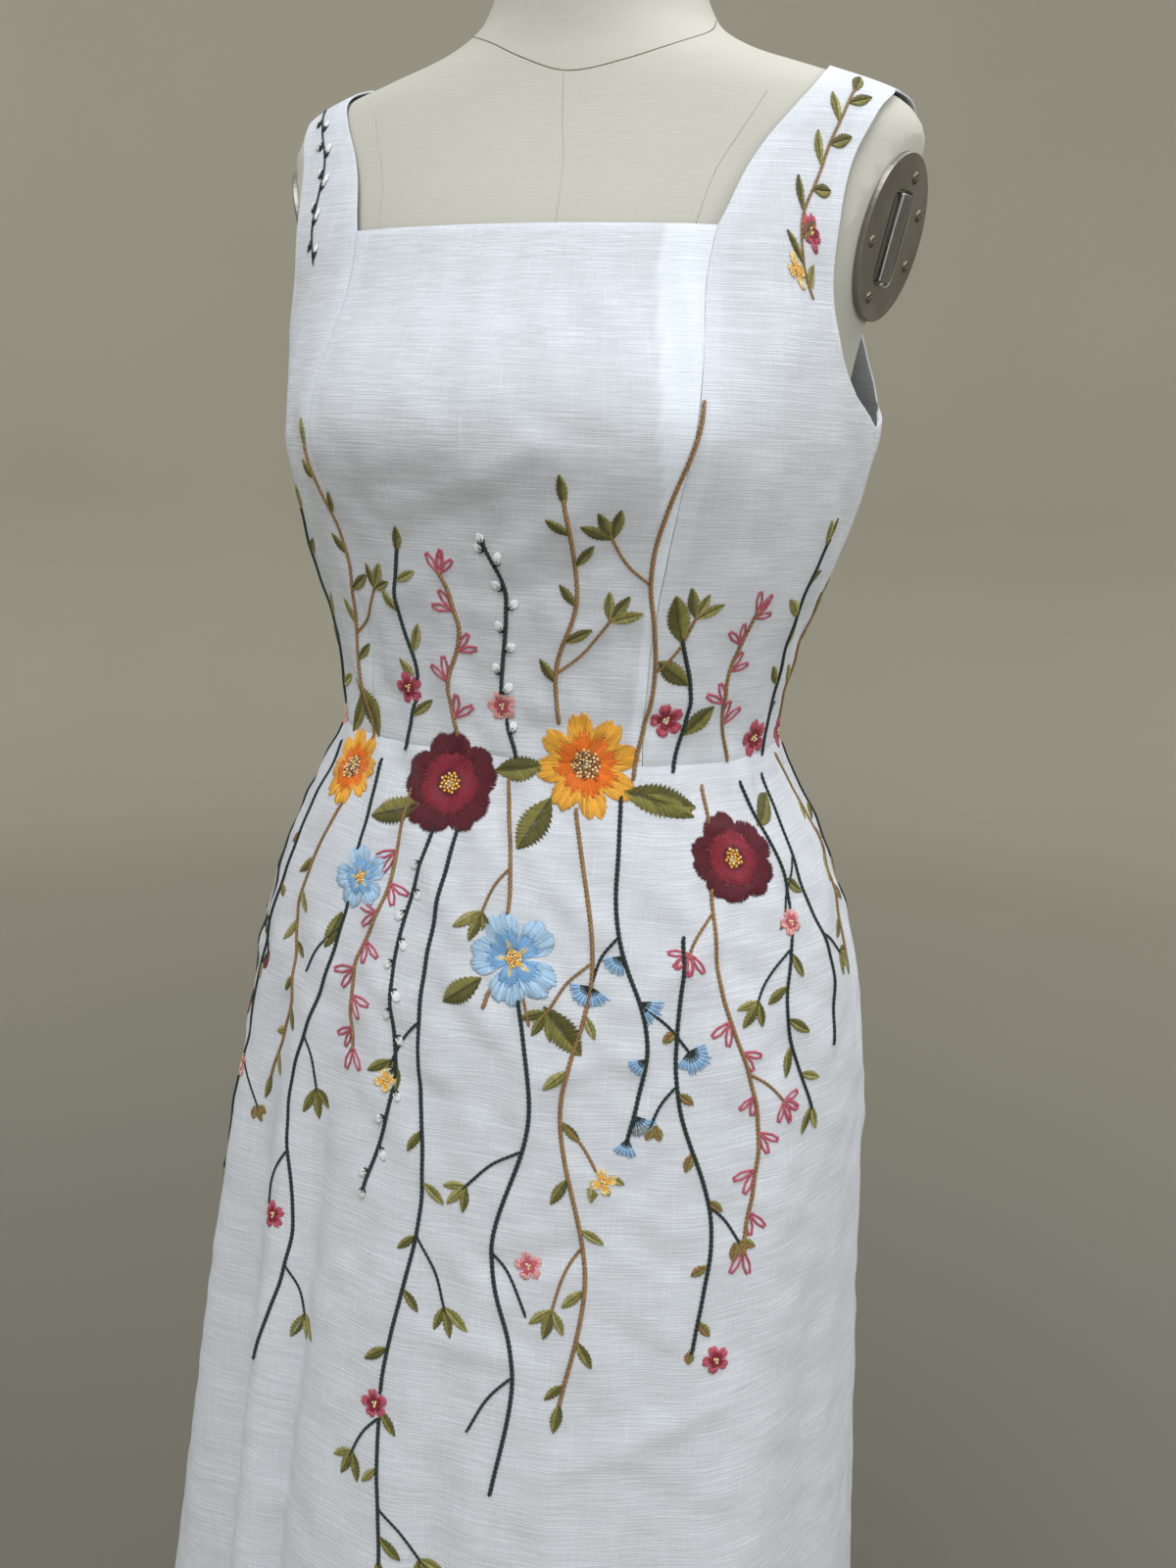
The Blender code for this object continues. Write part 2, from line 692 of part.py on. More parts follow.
def zip_pull(collection, cutters):
    """The pull tab: a rounded plate with an eye, on a pivot that passes under the crown."""
    start = PIVOT_RADIUS * 0.5
    corners = [(-PULL_HALF_WIDTH, start), (PULL_HALF_WIDTH, start)]
    for step in range(9):
        angle = math.pi * step / 8
        below = PULL_TIP_RADIUS - PULL_LENGTH - PULL_TIP_RADIUS * math.sin(angle)
        corners.append((PULL_TIP_RADIUS * math.cos(angle), below))
    outline = bmesh.new()
    ring = [outline.verts.new((x, y, -PULL_THICKNESS / 2)) for x, y in corners]
    outline.faces.new(ring)
    spread = bmesh.ops.extrude_face_region(outline, geom=outline.faces[:])
    lifted = [part for part in spread["geom"] if isinstance(part, bmesh.types.BMVert)]
    bmesh.ops.translate(outline, verts=lifted, vec=(0, 0, PULL_THICKNESS))
    bmesh.ops.recalc_face_normals(outline, faces=outline.faces)
    plate = bpy.data.meshes.new("plate")
    outline.to_mesh(plate)
    outline.free()
    half_eye = (EYE_END + 2 * PIVOT_RADIUS) / 2
    eye = moved(box_mesh("eye", EYE_HALF_WIDTH, half_eye, PULL_THICKNESS), 0, half_eye - EYE_END, 0)
    rod = bmesh.new()
    bmesh.ops.create_cone(
        rod,
        cap_ends=True,
        segments=16,
        radius1=PIVOT_RADIUS,
        radius2=PIVOT_RADIUS,
        depth=2 * PIVOT_HALF_LENGTH,
    )
    bmesh.ops.rotate(rod, matrix=Matrix.Rotation(math.pi / 2, 3, "Y"), verts=rod.verts)
    pivot = bpy.data.meshes.new("pivot")
    rod.to_mesh(pivot)
    rod.free()
    place = slider_matrix(PIVOT_LIFT)
    pull = joined("zip_pull", [plate, eye], place, collection, cutters, "DIFFERENCE")
    add_tool(pull, pivot, place, cutters, "UNION")


def main():
    """Builds the dress, its form and its stand."""
    for obj in list(bpy.data.objects):
        bpy.data.objects.remove(obj, do_unlink=True)
    dress = bpy.data.collections.new("dress_on_form")
    cutters = bpy.data.collections.new("cutters")
    bpy.context.scene.collection.children.link(dress)
    bpy.context.scene.collection.children.link(cutters)
    bodice_panels(dress)
    skirt_panels(dress)
    form_torso(dress)
    arm_plates(dress, cutters)
    zip_slider(dress, cutters)
    zip_pull(dress, cutters)
    stand(dress)


main()
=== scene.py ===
"""Looks of a sleeveless white linen wedding dress, embroidered with wildflowers, on a dress form.

Metres, +Z up, +X to the wearer's left, the front faces -Y. Places on the cloth are given by an
azimuth, 0 at the front and 90 degrees at the wearer's left side, and a height from the floor.
"""

import logging
import math
from dataclasses import dataclass, replace
from enum import Enum
from functools import cached_property, lru_cache

import bmesh
import bpy
import numpy as np
from bpy.types import Material, Mesh, Node, NodeSocket, NodeTree, Object
from mathutils import Matrix, Vector


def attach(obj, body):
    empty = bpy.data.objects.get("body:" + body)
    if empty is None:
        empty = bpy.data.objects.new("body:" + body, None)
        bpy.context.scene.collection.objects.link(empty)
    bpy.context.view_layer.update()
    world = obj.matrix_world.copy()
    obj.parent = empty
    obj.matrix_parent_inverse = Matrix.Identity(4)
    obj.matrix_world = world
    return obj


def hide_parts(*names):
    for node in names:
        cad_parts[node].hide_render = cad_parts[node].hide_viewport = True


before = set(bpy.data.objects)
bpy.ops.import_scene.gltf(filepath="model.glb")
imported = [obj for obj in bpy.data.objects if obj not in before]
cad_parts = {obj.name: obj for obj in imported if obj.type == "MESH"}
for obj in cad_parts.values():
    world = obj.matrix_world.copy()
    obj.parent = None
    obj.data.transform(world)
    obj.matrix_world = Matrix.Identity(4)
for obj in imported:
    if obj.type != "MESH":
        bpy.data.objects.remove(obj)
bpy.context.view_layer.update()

LOG = logging.getLogger("dress")
BODY = "dress_and_form"

HEM = 0.05
WAIST = 1.06
BUST = WAIST + 0.175
UNDERARM = WAIST + 0.18
BACK_NECKLINE = WAIST + 0.305
CLOTH_OUTSIDE = 0.0015
CLOTH_THICKNESS = 0.0009
FOLD_WIDTH = 0.00038
SEAM_GAP = 0.00012
STITCH_LIFT = 0.0003
Array = np.ndarray
Rows = tuple[tuple[float, ...], ...]
Triple = tuple[float, float, float]


class Thread(Enum):
    """The colours of the embroidery threads, as linear red, green and blue."""

    PINE = (0.006, 0.021, 0.017)
    BROWN = (0.285, 0.156, 0.052)
    MOSS = (0.105, 0.1, 0.018)
    OLIVE = (0.235, 0.215, 0.05)
    SAGE = (0.36, 0.34, 0.12)
    WINE = (0.1, 0.004, 0.013)
    CRIMSON = (0.23, 0.01, 0.028)
    ROSE = (0.5, 0.09, 0.14)
    BLUSH = (0.75, 0.36, 0.34)
    ORANGE = (0.78, 0.17, 0.01)
    GOLD = (0.83, 0.42, 0.045)
    STRAW = (0.8, 0.62, 0.28)
    SKY = (0.19, 0.4, 0.68)
    PALE_BLUE = (0.42, 0.61, 0.8)
    WHITE = (0.82, 0.83, 0.85)
    # Dark thread of the neck seam: partly the seam's own colour, partly painted shadow of the step
    # where the neck band lies over.
    CANVAS_SEAM_AND_SHADOW = (0.2, 0.15, 0.095)
    CANVAS_FOLD = (0.56, 0.53, 0.43)


class Sprig(Enum):
    """What grows along a stem."""

    BARE = "bare"
    LEAVES = "leaves"
    BIG_LEAVES = "big leaves"
    WILLOW = "willow"
    LOOPS = "loops"
    BERRIES = "berries"
    BLUE_TASSELS = "blue tassels"
    RED_TASSELS = "red tassels"


class SmoothTable:
    """A smooth curve through the rows of a table, by their first column."""

    def __init__(self, rows: Rows, samples: int = 1200) -> None:
        """Fits a cubic between the rows.

        Args:
            rows: place, then the values there, in rising order of place.
            samples: how many places the dense table has.
        """
        table = np.array(rows, float)
        places, values = table[:, 0], table[:, 1:]
        slopes = np.gradient(values, places, axis=0)
        self.places = np.linspace(places[0], places[-1], samples)
        low = np.clip(np.searchsorted(places, self.places, side="right") - 1, 0, len(places) - 2)
        step = (places[low + 1] - places[low])[:, None]
        t = (self.places[:, None] - places[low][:, None]) / step
        self.values = (
            (2 * t**3 - 3 * t**2 + 1) * values[low]
            + (t**3 - 2 * t**2 + t) * step * slopes[low]
            + (3 * t**2 - 2 * t**3) * values[low + 1]
            + (t**3 - t**2) * step * slopes[low + 1]
        )

    def column(self, place: Array, index: int) -> Array:
        """The values of a column at some places."""
        return np.interp(place, self.places, self.values[:, index])


def signed(azimuth: Array) -> Array:
    """The azimuth between -pi and pi."""
    return (azimuth + math.pi) % (2 * math.pi) - math.pi


def section_radius(table: SmoothTable, azimuth: Array, height: Array) -> Array:
    """Distance from a section's middle to its outline.

    Args:
        table: height, half width, depth to the front, depth to the back, squareness.
        azimuth: in radians.
        height: in metres.

    Returns:
        The distances.
    """
    half_width, front, back, squareness = (table.column(height, k) for k in range(4))
    depth = np.where(np.cos(azimuth) > 0, front, back)
    across = np.abs(np.sin(azimuth)) / half_width
    along = np.abs(np.cos(azimuth)) / depth
    return (across**squareness + along**squareness) ** (-1 / squareness)


@dataclass(frozen=True)
class FormShape:
    """The dress form's surface."""

    # height, half width, depth to the front, depth to the back, squareness, middle's set-back
    sections: Rows = (
        (0.74, 0.158, 0.104, 0.108, 2.3, 0.0),
        (0.8, 0.169, 0.11, 0.122, 2.3, 0.0),
        (0.86, 0.172, 0.111, 0.127, 2.3, 0.0),
        (0.94, 0.163, 0.114, 0.112, 2.3, 0.0),
        (1.01, 0.141, 0.105, 0.09, 2.3, 0.0),
        (1.06, 0.125, 0.0975, 0.081, 2.4, 0.0),
        (1.11, 0.131, 0.099, 0.086, 2.4, 0.0),
        (1.17, 0.148, 0.107, 0.096, 2.35, 0.0),
        (1.235, 0.156, 0.115, 0.104, 2.3, 0.0),
        (1.27, 0.16, 0.107, 0.107, 2.15, 0.0),
        (1.308, 0.169, 0.092, 0.107, 2.0, 0.002),
        (1.343, 0.181, 0.082, 0.101, 2.0, 0.008),
        (1.373, 0.186, 0.072, 0.091, 2.0, 0.014),
        (1.397, 0.184, 0.066, 0.08, 2.0, 0.02),
        (1.411, 0.169, 0.064, 0.072, 2.0, 0.024),
        (1.424, 0.134, 0.062, 0.065, 2.0, 0.027),
        (1.436, 0.097, 0.06, 0.061, 2.0, 0.029),
        (1.448, 0.074, 0.059, 0.059, 2.0, 0.03),
        (1.462, 0.063, 0.058, 0.058, 2.0, 0.03),
        (1.5, 0.06, 0.058, 0.056, 2.0, 0.027),
        (1.54, 0.058, 0.059, 0.055, 2.0, 0.021),
    )
    bust_rise: float = 0.013
    bust_azimuth: float = math.radians(37)
    bust_spread_around: float = math.radians(17)
    bust_spread_up: float = 0.05
    bridge: float = 0.8

    def set_back(self, height: Array) -> Array:
        """How far behind the axis the middle of the section is."""
        return FORM_TABLE.column(height, 4)

    def bust(self, azimuth: Array, height: Array, bridged: bool) -> Array:
        """The bust's rise.

        Args:
            azimuth: in radians.
            height: in metres.
            bridged: whether it is cloth, which dips little between the two points.

        Returns:
            The rise, in metres.
        """
        beside = np.abs(signed(azimuth)) - self.bust_azimuth
        around = np.exp(-((beside / self.bust_spread_around) ** 2))
        if bridged:
            around = np.where(beside < 0, self.bridge + (1 - self.bridge) * around, around)
        return self.bust_rise * around * np.exp(-(((height - BUST) / self.bust_spread_up) ** 2))

    def radius(self, azimuth: Array, height: Array) -> Array:
        """The form's surface, from the middle of its section."""
        return section_radius(FORM_TABLE, azimuth, height) + self.bust(azimuth, height, False)


FORM = FormShape()
FORM_TABLE = SmoothTable(FORM.sections)


@dataclass(frozen=True)
class Crease:
    """A soft ridge in the cloth; a negative height of it is a trough."""

    azimuth: float
    height: float
    lean: float
    length: float
    width: float
    rise: float
    waist_radius: float = 0.13
    hem_gain: float = 0.1

    def lift(self, azimuth: Array, height: Array) -> Array:
        """How far the crease lifts the cloth.

        Args:
            azimuth: in radians.
            height: in metres.

        Returns:
            The lift, in metres.
        """
        down = np.clip((WAIST - height) / (WAIST - HEM), 0, 1)
        around = self.waist_radius + self.hem_gain * down
        across = signed(azimuth - math.radians(self.azimuth)) * around
        up = height - self.height
        lean = math.radians(self.lean)
        along = up * math.cos(lean) + across * math.sin(lean)
        beside = across * math.cos(lean) - up * math.sin(lean)
        return self.rise * np.exp(-((beside / self.width) ** 2) - (2 * along / self.length) ** 4)


@dataclass(frozen=True)
class ClothShape:
    """The inner side of the dress, from the middle of its sections, with its creases."""

    # height, ease
    ease: Rows = (
        (1.06, 0.005), (1.235, 0.006), (1.33, 0.005), (1.4, 0.0029), (1.5, 0.0029),
    )
    armhole_stand: float = 0.014
    armhole_azimuth: float = math.radians(104)
    armhole_around: float = math.radians(30)
    armhole_up: float = 0.065
    # height, half width, depth to the front, depth to the back, squareness, middle's set-back
    skirt: Rows = (
        (0.05, 0.274, 0.262, 0.268, 2.1, 0.0),
        (0.4, 0.234, 0.216, 0.222, 2.1, 0.0),
        (0.7, 0.209, 0.176, 0.184, 2.1, 0.0),
        (0.86, 0.192, 0.15, 0.152, 2.2, 0.0),
        (0.94, 0.178, 0.135, 0.132, 2.2, 0.0),
        (1.01, 0.152, 0.115, 0.1, 2.3, 0.0),
        (1.045, 0.1315, 0.1015, 0.084, 2.4, 0.0),
        (1.06, 0.125, 0.0975, 0.081, 2.4, 0.0),
    )
    # azimuth, half width in degrees, rise at the hem, height where it starts
    flutes: Rows = (
        (-8, 15, 0.018, 0.8), (22, 13, 0.014, 0.76), (47, 14, 0.022, 0.84),
        (78, 14, 0.014, 0.7), (97, 42, -0.036, 0.88), (107, 13, 0.014, 0.74),
        (129, 13, 0.019, 0.82), (153, 12, 0.024, 0.9), (178, 12, 0.02, 0.86),
        (203, 12, 0.024, 0.9), (229, 14, 0.018, 0.8), (256, 13, 0.023, 0.88),
        (283, 13, 0.022, 0.84), (303, 16, 0.03, 0.88), (331, 13, 0.017, 0.78),
    )
    # azimuth, height, lean in degrees from upright, length, half width, rise
    bodice_creases: Rows = (
        (6, 1.215, 62, 0.07, 0.007, 0.0016), (-9, 1.19, 70, 0.06, 0.008, -0.0016),
        (12, 1.178, 58, 0.075, 0.0075, 0.0019), (16, 1.158, 66, 0.07, 0.007, -0.0018),
        (-20, 1.205, 80, 0.05, 0.0065, -0.0012), (22, 1.232, 100, 0.045, 0.0055, -0.0012),
        (-4, 1.14, 86, 0.06, 0.007, 0.0012), (-2, 1.25, 4, 0.08, 0.007, 0.0008),
        (-24, 1.15, 64, 0.06, 0.007, 0.0013), (30, 1.135, 74, 0.05, 0.006, 0.0011),
        (46, 1.285, 3, 0.12, 0.005, 0.0013), (53, 1.29, 5, 0.11, 0.007, -0.0016),
        (62, 1.3, 3, 0.1, 0.007, 0.0011), (47, 1.205, 8, 0.11, 0.008, 0.0012),
        (62, 1.235, 4, 0.12, 0.009, 0.0016), (70, 1.205, -6, 0.1, 0.008, -0.0014),
        (78, 1.19, -12, 0.11, 0.009, 0.0014), (84, 1.15, -22, 0.07, 0.008, -0.0012),
        (-48, 1.19, -8, 0.1, 0.008, 0.0012), (-62, 1.215, -6, 0.11, 0.009, 0.0015),
        (-72, 1.185, 8, 0.1, 0.008, -0.0013), (-82, 1.16, 18, 0.09, 0.008, 0.0012),
        (14, 1.08, 90, 0.06, 0.0032, -0.001), (20, 1.089, 92, 0.05, 0.0035, 0.001),
        (38, 1.084, 88, 0.055, 0.0036, -0.0009), (-6, 1.094, 90, 0.05, 0.0045, 0.0008),
        (-30, 1.086, 90, 0.05, 0.0038, -0.0008), (56, 1.096, 84, 0.05, 0.0045, 0.0009),
        (104, 1.15, 14, 0.09, 0.0085, 0.0013), (118, 1.19, 6, 0.11, 0.009, -0.0013),
        (132, 1.17, -8, 0.1, 0.0085, 0.0013), (146, 1.14, -70, 0.06, 0.007, -0.001),
        (160, 1.11, 84, 0.06, 0.006, 0.0012), (172, 1.095, 90, 0.06, 0.005, -0.0011),
        (188, 1.103, 88, 0.06, 0.0055, 0.0012), (202, 1.125, 76, 0.07, 0.0065, -0.0011),
        (214, 1.16, -66, 0.07, 0.0075, 0.0013), (228, 1.175, 10, 0.1, 0.0085, -0.0013),
        (244, 1.19, -6, 0.11, 0.009, 0.0014), (258, 1.15, -16, 0.09, 0.008, -0.0012),
    )
    skirt_creases: Rows = (
        (-52, 0.64, -3, 0.42, 0.011, 0.0042), (-44, 0.56, -2, 0.64, 0.013, -0.0052),
        (-35, 0.58, -2, 0.56, 0.0105, 0.0052), (-28, 0.6, -1, 0.52, 0.0085, -0.0052),
        (-18, 0.5, -1, 0.46, 0.013, 0.003), (2, 0.43, 0, 0.42, 0.01, -0.0026),
        (9, 0.5, 1, 0.56, 0.012, 0.002), (17, 0.42, 1, 0.44, 0.009, -0.003),
        (31, 0.56, 2, 0.52, 0.014, 0.0018), (40, 0.47, 2, 0.42, 0.01, -0.0022),
        (56, 0.6, 3, 0.6, 0.014, 0.0026), (66, 0.52, 3, 0.48, 0.011, -0.0024),
        (86, 0.56, 2, 0.6, 0.012, 0.0022), (12, 0.96, 84, 0.06, 0.006, -0.0009),
        (27, 0.905, 70, 0.07, 0.0065, 0.001), (-3, 0.88, 100, 0.06, 0.0065, -0.0009),
        (44, 0.955, 60, 0.07, 0.007, 0.001), (-20, 0.93, 120, 0.06, 0.006, 0.0009),
        (20, 0.8, 74, 0.07, 0.007, -0.001), (8, 0.745, 96, 0.07, 0.007, 0.001),
        (36, 0.7, 64, 0.09, 0.008, 0.001), (63, 0.93, -24, 0.11, 0.008, -0.0012),
        (74, 0.985, -16, 0.1, 0.007, 0.0012), (-60, 0.96, 20, 0.11, 0.008, 0.0013),
        (-72, 0.9, 12, 0.16, 0.009, -0.0014), (112, 0.56, 2, 0.6, 0.012, -0.0026),
        (121, 0.62, 2, 0.52, 0.011, 0.0024), (140, 0.52, 1, 0.56, 0.012, -0.003),
        (148, 0.6, 1, 0.46, 0.009, 0.0026), (166, 0.56, 0, 0.6, 0.012, -0.0028),
        (190, 0.52, 0, 0.56, 0.011, -0.0026), (197, 0.64, -1, 0.48, 0.01, 0.0024),
        (216, 0.56, -1, 0.6, 0.012, -0.003), (240, 0.6, -2, 0.52, 0.011, 0.0024),
        (248, 0.52, -2, 0.56, 0.012, -0.0026), (270, 0.56, -2, 0.56, 0.011, -0.0026),
        (292, 0.6, -3, 0.56, 0.012, 0.0026),
    )
    crease_depth: float = 1.5
    early_rise: float = 0.6
    pucker_rise: float = 0.00052
    pucker_waves: int = 22
    # wavelength, heading, phase
    pucker_low: Triple = (0.018, 0.45, 0)
    pucker_high: Triple = (0.048, 2.7, 6.28)
    pucker_length: float = 0.022
    pucker_radius: float = 0.14
    pucker_height: float = 0.99
    pucker_spread: float = 0.17
    pucker_least: float = 0.4
    map_columns: int = 720
    map_rows: int = 860
    map_top: float = 1.345
    map_fade: float = 0.03

    def stand_off(self, azimuth: Array, height: Array) -> Array:
        """How far the cloth stands off under each arm."""
        beside = (np.abs(signed(azimuth)) - self.armhole_azimuth) / self.armhole_around
        return self.armhole_stand * np.exp(-(beside**2) - ((height - UNDERARM) / self.armhole_up) ** 2)

    def bodice_radius(self, azimuth: Array, height: Array) -> Array:
        """The bodice without its creases."""
        surface = section_radius(FORM_TABLE, azimuth, height) + FORM.bust(azimuth, height, True)
        return surface + np.interp(height, *np.array(self.ease).T) + self.stand_off(azimuth, height)

    def flute_rise(self, azimuth: Array, height: Array) -> Array:
        """The rise of all of the skirt's flutes.

        Args:
            azimuth: in radians.
            height: in metres.

        Returns:
            The rise, in metres.
        """
        rise = np.zeros(np.shape(azimuth))
        for middle, half_width, at_hem, start in self.flutes:
            beside = np.abs(signed(azimuth - math.radians(middle))) / math.radians(half_width)
            lobe = np.where(beside < 1, 0.5 + 0.5 * np.cos(math.pi * np.minimum(beside, 1)), 0.0)
            grown = np.clip((start - height) / (start - HEM), 0, 1)
            rise = rise + at_hem * lobe * grown * (1 + self.early_rise * (1 - grown))
        return rise

    def skirt_radius(self, azimuth: Array, height: Array) -> Array:
        """The skirt without its creases."""
        base = section_radius(SKIRT_TABLE, azimuth, height)
        return base + self.ease[0][1] + self.flute_rise(azimuth, height)

    def puckers(self, azimuth: Array, height: Array) -> Array:
        """Fine unevenness of the cloth, strongest where it is embroidered.

        Args:
            azimuth: in radians.
            height: in metres.

        Returns:
            The lift, in metres.
        """
        draws = np.random.default_rng(11)
        lift = np.zeros(np.shape(azimuth))
        for _ in range(self.pucker_waves):
            wavelength, heading, phase = draws.uniform(self.pucker_low, self.pucker_high)
            across = azimuth * self.pucker_radius * math.sin(heading) + height * math.cos(heading)
            wave = np.sin(2 * math.pi * across / wavelength + phase)
            lift = lift + wave * wavelength / self.pucker_length
        worked = np.exp(-(((height - self.pucker_height) / self.pucker_spread) ** 2))
        near = self.pucker_least + (1 - self.pucker_least) * worked
        return self.pucker_rise * lift * near / math.sqrt(self.pucker_waves / 2)

    @cached_property
    def relief_map(self) -> Array:
        """The lift of all creases and puckers.

        Returns:
            It, by height and azimuth, at regular steps.
        """
        azimuth = np.linspace(-math.pi, math.pi, self.map_columns + 1)[None, :]
        height = np.linspace(HEM, self.map_top, self.map_rows + 1)[:, None]
        azimuth, height = np.broadcast_arrays(azimuth, height)
        lift = self.puckers(azimuth, height)
        for row in self.bodice_creases + self.skirt_creases:
            lift = lift + self.crease_depth * Crease(*row).lift(azimuth, height)
        return lift * np.clip((self.map_top - height) / self.map_fade, 0, 1)

    def relief(self, azimuth: Array, height: Array) -> Array:
        """How far creases and puckers lift the cloth, fading out on the shoulders.

        Args:
            azimuth: in radians.
            height: in metres.

        Returns:
            The lift, in metres.
        """
        x = (signed(azimuth) / (2 * math.pi) + 0.5) * self.map_columns
        y = np.clip((height - HEM) / (self.map_top - HEM), 0, 1) * self.map_rows
        return between_cells(self.relief_map[..., None], x, y)[..., 0]

    def radius(self, azimuth: Array, height: Array) -> Array:
        """The dress's inner side with its creases."""
        parts = self.bodice_radius(azimuth, height), self.skirt_radius(azimuth, height)
        return np.where(height > WAIST, *parts) + self.relief(azimuth, height)


CLOTH = ClothShape()
SKIRT_TABLE = SmoothTable(CLOTH.skirt)


def at(radius: Array, azimuth: Array, height: Array) -> Array:
    """Points at a radius from the middle of their section."""
    forward = radius * np.cos(azimuth) - FORM.set_back(height)
    return np.stack([radius * np.sin(azimuth), -forward, height + 0 * azimuth], axis=-1)


def azimuth_of(points: Array) -> Array:
    """The azimuths of points."""
    return np.arctan2(points[..., 0], FORM.set_back(points[..., 2]) - points[..., 1])


def pairs(x: Array, y: Array) -> Array:
    """Two coordinates side by side, one row a place."""
    return np.stack([x, y], axis=1)


def between_cells(table: Array, x: Array, y: Array) -> Array:
    """A table's values between its cells.

    Args:
        table: rows by columns by values.
        x: columns, with fractions.
        y: rows, with fractions.

    Returns:
        The values at each place.
    """
    rows, columns = table.shape[:2]
    i, j = np.minimum(y.astype(int), rows - 2), np.minimum(x.astype(int), columns - 2)
    s, t = (x - j)[..., None], (y - i)[..., None]
    low = table[i, j] * (1 - s) + table[i, j + 1] * s
    high = table[i + 1, j] * (1 - s) + table[i + 1, j + 1] * s
    return low * (1 - t) + high * t


def lengths(points: Array, axis: int) -> Array:
    """Distances run along a grid's rows or columns.

    Args:
        points: the grid.
        axis: 0 to run along its columns, 1 along its rows.

    Returns:
        The distance of each point from the first in its line.
    """
    steps = np.linalg.norm(np.diff(points, axis=axis), axis=-1)
    start = np.zeros_like(np.take(steps, [0], axis=axis))
    return np.concatenate([start, np.cumsum(steps, axis=axis)], axis=axis)


def line_through(points: Array, count: int) -> Array:
    """A smooth line through some points.

    Args:
        points: what it goes through.
        count: how many points it has.

    Returns:
        The line's points, spaced evenly.
    """
    points = np.array(points, float)
    dense = SmoothTable(np.column_stack([lengths(points, 0), points])).values
    run = lengths(dense, 0)
    wanted = np.linspace(0, run[-1], count)
    return np.stack([np.interp(wanted, run, dense[:, k]) for k in range(points.shape[1])], axis=1)


def new_mesh(name: str, shape: bmesh.types.BMesh) -> Mesh:
    """Turns a finished bmesh into a mesh.

    Args:
        name: the mesh's name.
        shape: the bmesh, which is freed.

    Returns:
        The mesh.
    """
    mesh = bpy.data.meshes.new(name)
    shape.to_mesh(mesh)
    shape.free()
    return mesh


def grid_mesh(name: str, points: Array) -> Mesh:
    """A sheet through a grid of points.

    Args:
        name: the mesh's name.
        points: rows by columns by 3.

    Returns:
        The mesh, whose vertices follow the grid row by row.
    """
    rows, columns = points.shape[:2]
    sheet = bmesh.new()
    bmesh.ops.create_grid(sheet, x_segments=columns - 1, y_segments=rows - 1, size=1)
    mesh = new_mesh(name, sheet)
    mesh.vertices.foreach_set("co", points.astype(np.float32).ravel())
    mesh.update()
    return mesh


def smooth(mesh: Mesh) -> Mesh:
    """The mesh with its faces shaded smooth."""
    mesh.polygons.foreach_set("use_smooth", [True] * len(mesh.polygons))
    return mesh


def spun(name: str, profile: Rows, steps: int) -> Mesh:
    """A mesh spun round the upright axis.

    Args:
        name: the mesh's name.
        profile: radius and height of each corner.
        steps: how many faces go round.

    Returns:
        The mesh, shaded smooth.
    """
    shape = bmesh.new()
    corners = [shape.verts.new((radius, 0, height)) for radius, height in profile]
    edges = [shape.edges.new(pair) for pair in zip(corners, corners[1:])]
    bmesh.ops.spin(
        shape, geom=[*corners, *edges], cent=(0, 0, 0), axis=(0, 0, 1),
        angle=2 * math.pi, steps=steps, use_merge=True,
    )
    bmesh.ops.remove_doubles(shape, verts=shape.verts, dist=0.0001)
    bmesh.ops.recalc_face_normals(shape, faces=shape.faces)
    return smooth(new_mesh(name, shape))


def round_off(shape: bmesh.types.BMesh, edges: list[bmesh.types.BMEdge], radius: float) -> None:
    """Rounds some of a shape's edges."""
    bmesh.ops.bevel(
        shape, geom=edges, offset=radius, offset_type="OFFSET", segments=3, profile=0.5,
        affect="EDGES", material=-1,
    )


def paint_uv(mesh: Mesh, name: str, uv: Array) -> None:
    """Gives a mesh a UV map.

    Args:
        mesh: the mesh.
        name: the map's name.
        uv: one pair of values a vertex.
    """
    corners = np.zeros(len(mesh.loops), np.int32)
    mesh.loops.foreach_get("vertex_index", corners)
    layer = mesh.uv_layers.new(name=name)
    layer.uv.foreach_set("vector", uv.reshape(-1, 2)[corners].astype(np.float32).ravel())


def place_object(
    name: str,
    mesh: Mesh,
    material: Material,
    nodes: tuple[str, ...] = (),
) -> Object:
    """Adds a piece that rides with the dress.

    Args:
        name: the piece's name.
        mesh: its mesh, already in place.
        material: its finish.
        nodes: the CAD nodes that it stands for.

    Returns:
        The object.
    """
    mesh.materials.append(material)
    piece = bpy.data.objects.new(name, mesh)
    bpy.context.scene.collection.objects.link(piece)
    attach(piece, BODY)
    if nodes:
        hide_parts(*nodes)
    LOG.info("%s: %d faces", name, len(mesh.polygons))
    return piece


